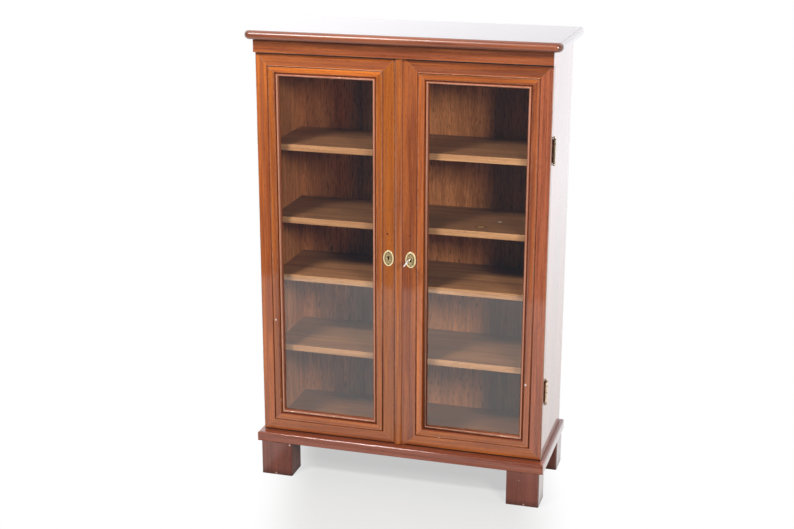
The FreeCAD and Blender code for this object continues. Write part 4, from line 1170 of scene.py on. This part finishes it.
class BOOKCASE_OT_stage(bpy.types.Operator):
    """Sets the floor, the light and the camera"""
    bl_idname = "bookcase.stage"
    bl_label = "Stage"

    def execute(self, context):
        stage = context.scene.bookcase_stage
        context.scene.view_settings.view_transform = "Standard"
        self.floor(stage)
        self.world(context.scene, stage)
        self.lamp("near_lamp", NEAR_LAMP, stage.near_size, stage.near_size, stage.near_power)
        self.lamp("high_lamp", HIGH_LAMP, stage.high_width, stage.high_height, stage.high_power)
        self.camera(context.scene)
        return {"FINISHED"}

    def floor(self, stage):
        """Pale floor with the object's shadow, white to the camera away from it."""
        finish = Finish("pale_floor")
        ahead = finish.along(Y_AXIS)
        aside = finish.maths("ABSOLUTE", finish.along(X_AXIS))
        seen, off_mirror = finish.seen_and_mirrored()
        mottle = finish.noise(finish.place(), detail=4.0, roughness=0.6, scale=FLOOR_PATCHES)
        pale = finish.mixed(seen, FLOOR_BOUNCE, finish.mixed(mottle, *FLOOR_TONES))
        matt = finish.add("ShaderNodeBsdfDiffuse", {"Color": pale}).outputs[0]
        glow = self.mirrored_floor(finish, stage, ahead, aside)
        mirrored = finish.maths("MULTIPLY", off_mirror, self.clear_floor(finish, ahead, aside))
        shown = finish.add("ShaderNodeMixShader", {0: mirrored, 1: matt, 2: glow}).outputs[0]
        white = finish.add("ShaderNodeEmission", {"Strength": 1.0}).outputs[0]
        lifted = finish.maths("MULTIPLY", seen, self.lit_floor(finish, ahead))
        shown = finish.add("ShaderNodeMixShader", {0: lifted, 1: shown, 2: white}).outputs[0]
        data = bpy.data.meshes.new("floor")
        corners = [(x * FLOOR_HALF, y * FLOOR_HALF, 0) for x, y in ((-1, -1), (1, -1), (1, 1), (-1, 1))]
        data.from_pydata(corners, [], [(0, 1, 2, 3)])
        data.materials.append(finish.ended(shown))
        floor = linked("floor", data)

    @staticmethod
    def mirrored_floor(finish, stage, ahead, aside):
        """How polished surfaces show the floor: brighter far aside, and dark beyond its front."""
        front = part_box("left_door_hinge_stile")[LOW].y - stage.sweep_front
        edge = (front - SWEEP_EDGE, front + SWEEP_EDGE)
        at_side = finish.eased(ahead, *BESIDE)
        rise = finish.between(at_side, 1.0, finish.eased(aside, *SIDE_RISE, steps="LINEAR"))
        level = finish.eased(ahead, *edge, stage.mirrored_dim, stage.mirrored_floor)
        level = finish.maths("MULTIPLY", level, rise)
        far = finish.maths("MULTIPLY", finish.eased(aside, *SIDE_TINT), at_side)
        tint = finish.mixed(far, WHITE, opaque(stage.sweep_tint))
        tint = finish.mixed(finish.eased(ahead, *edge), opaque(stage.dim_tint), tint)
        return finish.add("ShaderNodeEmission", {"Color": tint, "Strength": level}).outputs[0]

    @staticmethod
    def clear_floor(finish, ahead, aside):
        """Value that is 1 where the floor isn't under the object."""
        before = finish.eased(finish.maths("ABSOLUTE", ahead), CAD_BOX[HIGH][Y_AXIS], FLOOR_BEFORE)
        return finish.maths("MAXIMUM", finish.eased(aside, *UNDER_SIDES), before)

    @staticmethod
    def lit_floor(finish, ahead):
        """Value that is 1 where the floor is white to the camera, away from the object's shadow."""
        across = finish.maths("ABSOLUTE", finish.vector_maths("DOT_PRODUCT", finish.place(), ACROSS_VIEW))
        lit = finish.eased(across, *SHADOW_SIDES)
        lit = finish.maths("MAXIMUM", lit, finish.eased(ahead, *SHADOW_BACK))
        away = finish.vector_maths("LENGTH", finish.place())
        return finish.maths("MAXIMUM", lit, finish.eased(away, *SHADOW_END))

    @staticmethod
    def world(scene, stage):
        """White sweep behind and beside the object, and a dim studio before it; white to the camera."""
        scene.world = bpy.data.worlds.new("studio")
        scene.world.use_nodes = True
        nodes = Nodes(scene.world.node_tree)
        toward = nodes.add("ShaderNodeTexCoord").outputs["Generated"]
        ahead = nodes.part(toward, Y_AXIS)
        across = nodes.part(toward, X_AXIS)
        lit = nodes.eased(ahead, *STUDIO_EDGE, stage.front_dim, stage.ambient)
        shown = nodes.eased(ahead, *STUDIO_EDGE, stage.mirrored_dim, stage.mirrored)
        shown = nodes.maths("MULTIPLY", shown, nodes.eased(across, *SWEEP_LEFT))
        shown = nodes.maths("MULTIPLY", shown, nodes.eased(across, *SWEEP_RIGHT))
        seen, mirrored = nodes.seen_and_mirrored()
        strength = nodes.maths("MAXIMUM", nodes.between(mirrored, lit, shown), seen)
        on_sweep = nodes.eased(ahead, *STUDIO_EDGE)
        tint = nodes.mixed(on_sweep, opaque(stage.dim_tint), opaque(stage.sweep_tint))
        tint = nodes.mixed(mirrored, WHITE, tint)
        shader = nodes.add("ShaderNodeBackground", {"Color": tint, "Strength": strength}).outputs[0]
        nodes.add("ShaderNodeOutputWorld", {"Surface": shader})

    @staticmethod
    def lamp(name, place, width, height, power):
        """Soft lamp that faces the middle of the object."""
        data = bpy.data.lights.new(name, "AREA")
        data.shape = "RECTANGLE"
        data.size = width
        data.size_y = height
        data.energy = power
        lamp = linked(name, data)
        lamp.location = place
        lamp.rotation_euler = (Vector(LAMP_TARGET) - Vector(place)).to_track_quat("-Z", "Y").to_euler()

    @staticmethod
    def camera(scene):
        """Camera at the photograph's place, at eye height to the right of the doors."""
        data = bpy.data.cameras.new("camera")
        data.sensor_width = CAMERA_SENSOR
        data.lens = CAMERA_LENS
        turn, tilt, roll = (math.radians(angle) for angle in CAMERA_ANGLES)
        aim = Matrix.Rotation(turn, 4, "Z") @ Matrix.Rotation(tilt, 4, "X") @ Matrix.Rotation(roll, 4, "Z")
        scene.camera = linked("camera", data)
        scene.camera.matrix_world = Matrix.Translation(CAMERA_PLACE) @ aim


OPERATORS = (BOOKCASE_OT_case, BOOKCASE_OT_inside, BOOKCASE_OT_doors, BOOKCASE_OT_fittings,
             BOOKCASE_OT_fasteners, BOOKCASE_OT_stage)


class BOOKCASE_PT_panel(bpy.types.Panel):
    """Lists the steps that finish the bookcase"""
    bl_idname = "BOOKCASE_PT_panel"
    bl_label = "Bookcase"
    bl_space_type = "VIEW_3D"
    bl_region_type = "UI"
    bl_category = "Bookcase"

    def draw(self, context):
        for operator in OPERATORS:
            self.layout.operator(operator.bl_idname)


PROPERTY_GROUPS = {"bookcase_timbers": BookcaseTimbers, "bookcase_metals": BookcaseMetals,
                   "bookcase_stage": BookcaseStage}


def register():
    """Makes the settings, steps and panel known."""
    for name, group in PROPERTY_GROUPS.items():
        bpy.utils.register_class(group)
        setattr(bpy.types.Scene, name, bpy.props.PointerProperty(type=group))
    for kind in (*OPERATORS, BOOKCASE_PT_panel):
        bpy.utils.register_class(kind)


def unregister():
    """Takes back what register made known."""
    for kind in reversed((*OPERATORS, BOOKCASE_PT_panel)):
        bpy.utils.unregister_class(kind)
    for name, group in PROPERTY_GROUPS.items():
        delattr(bpy.types.Scene, name)
        bpy.utils.unregister_class(group)


def main():
    """Finishes the bookcase."""
    register()
    bpy.ops.bookcase.case()
    bpy.ops.bookcase.inside()
    bpy.ops.bookcase.doors()
    bpy.ops.bookcase.fittings()
    bpy.ops.bookcase.fasteners()
    bpy.ops.bookcase.stage()


if __name__ == "__main__":
    main()
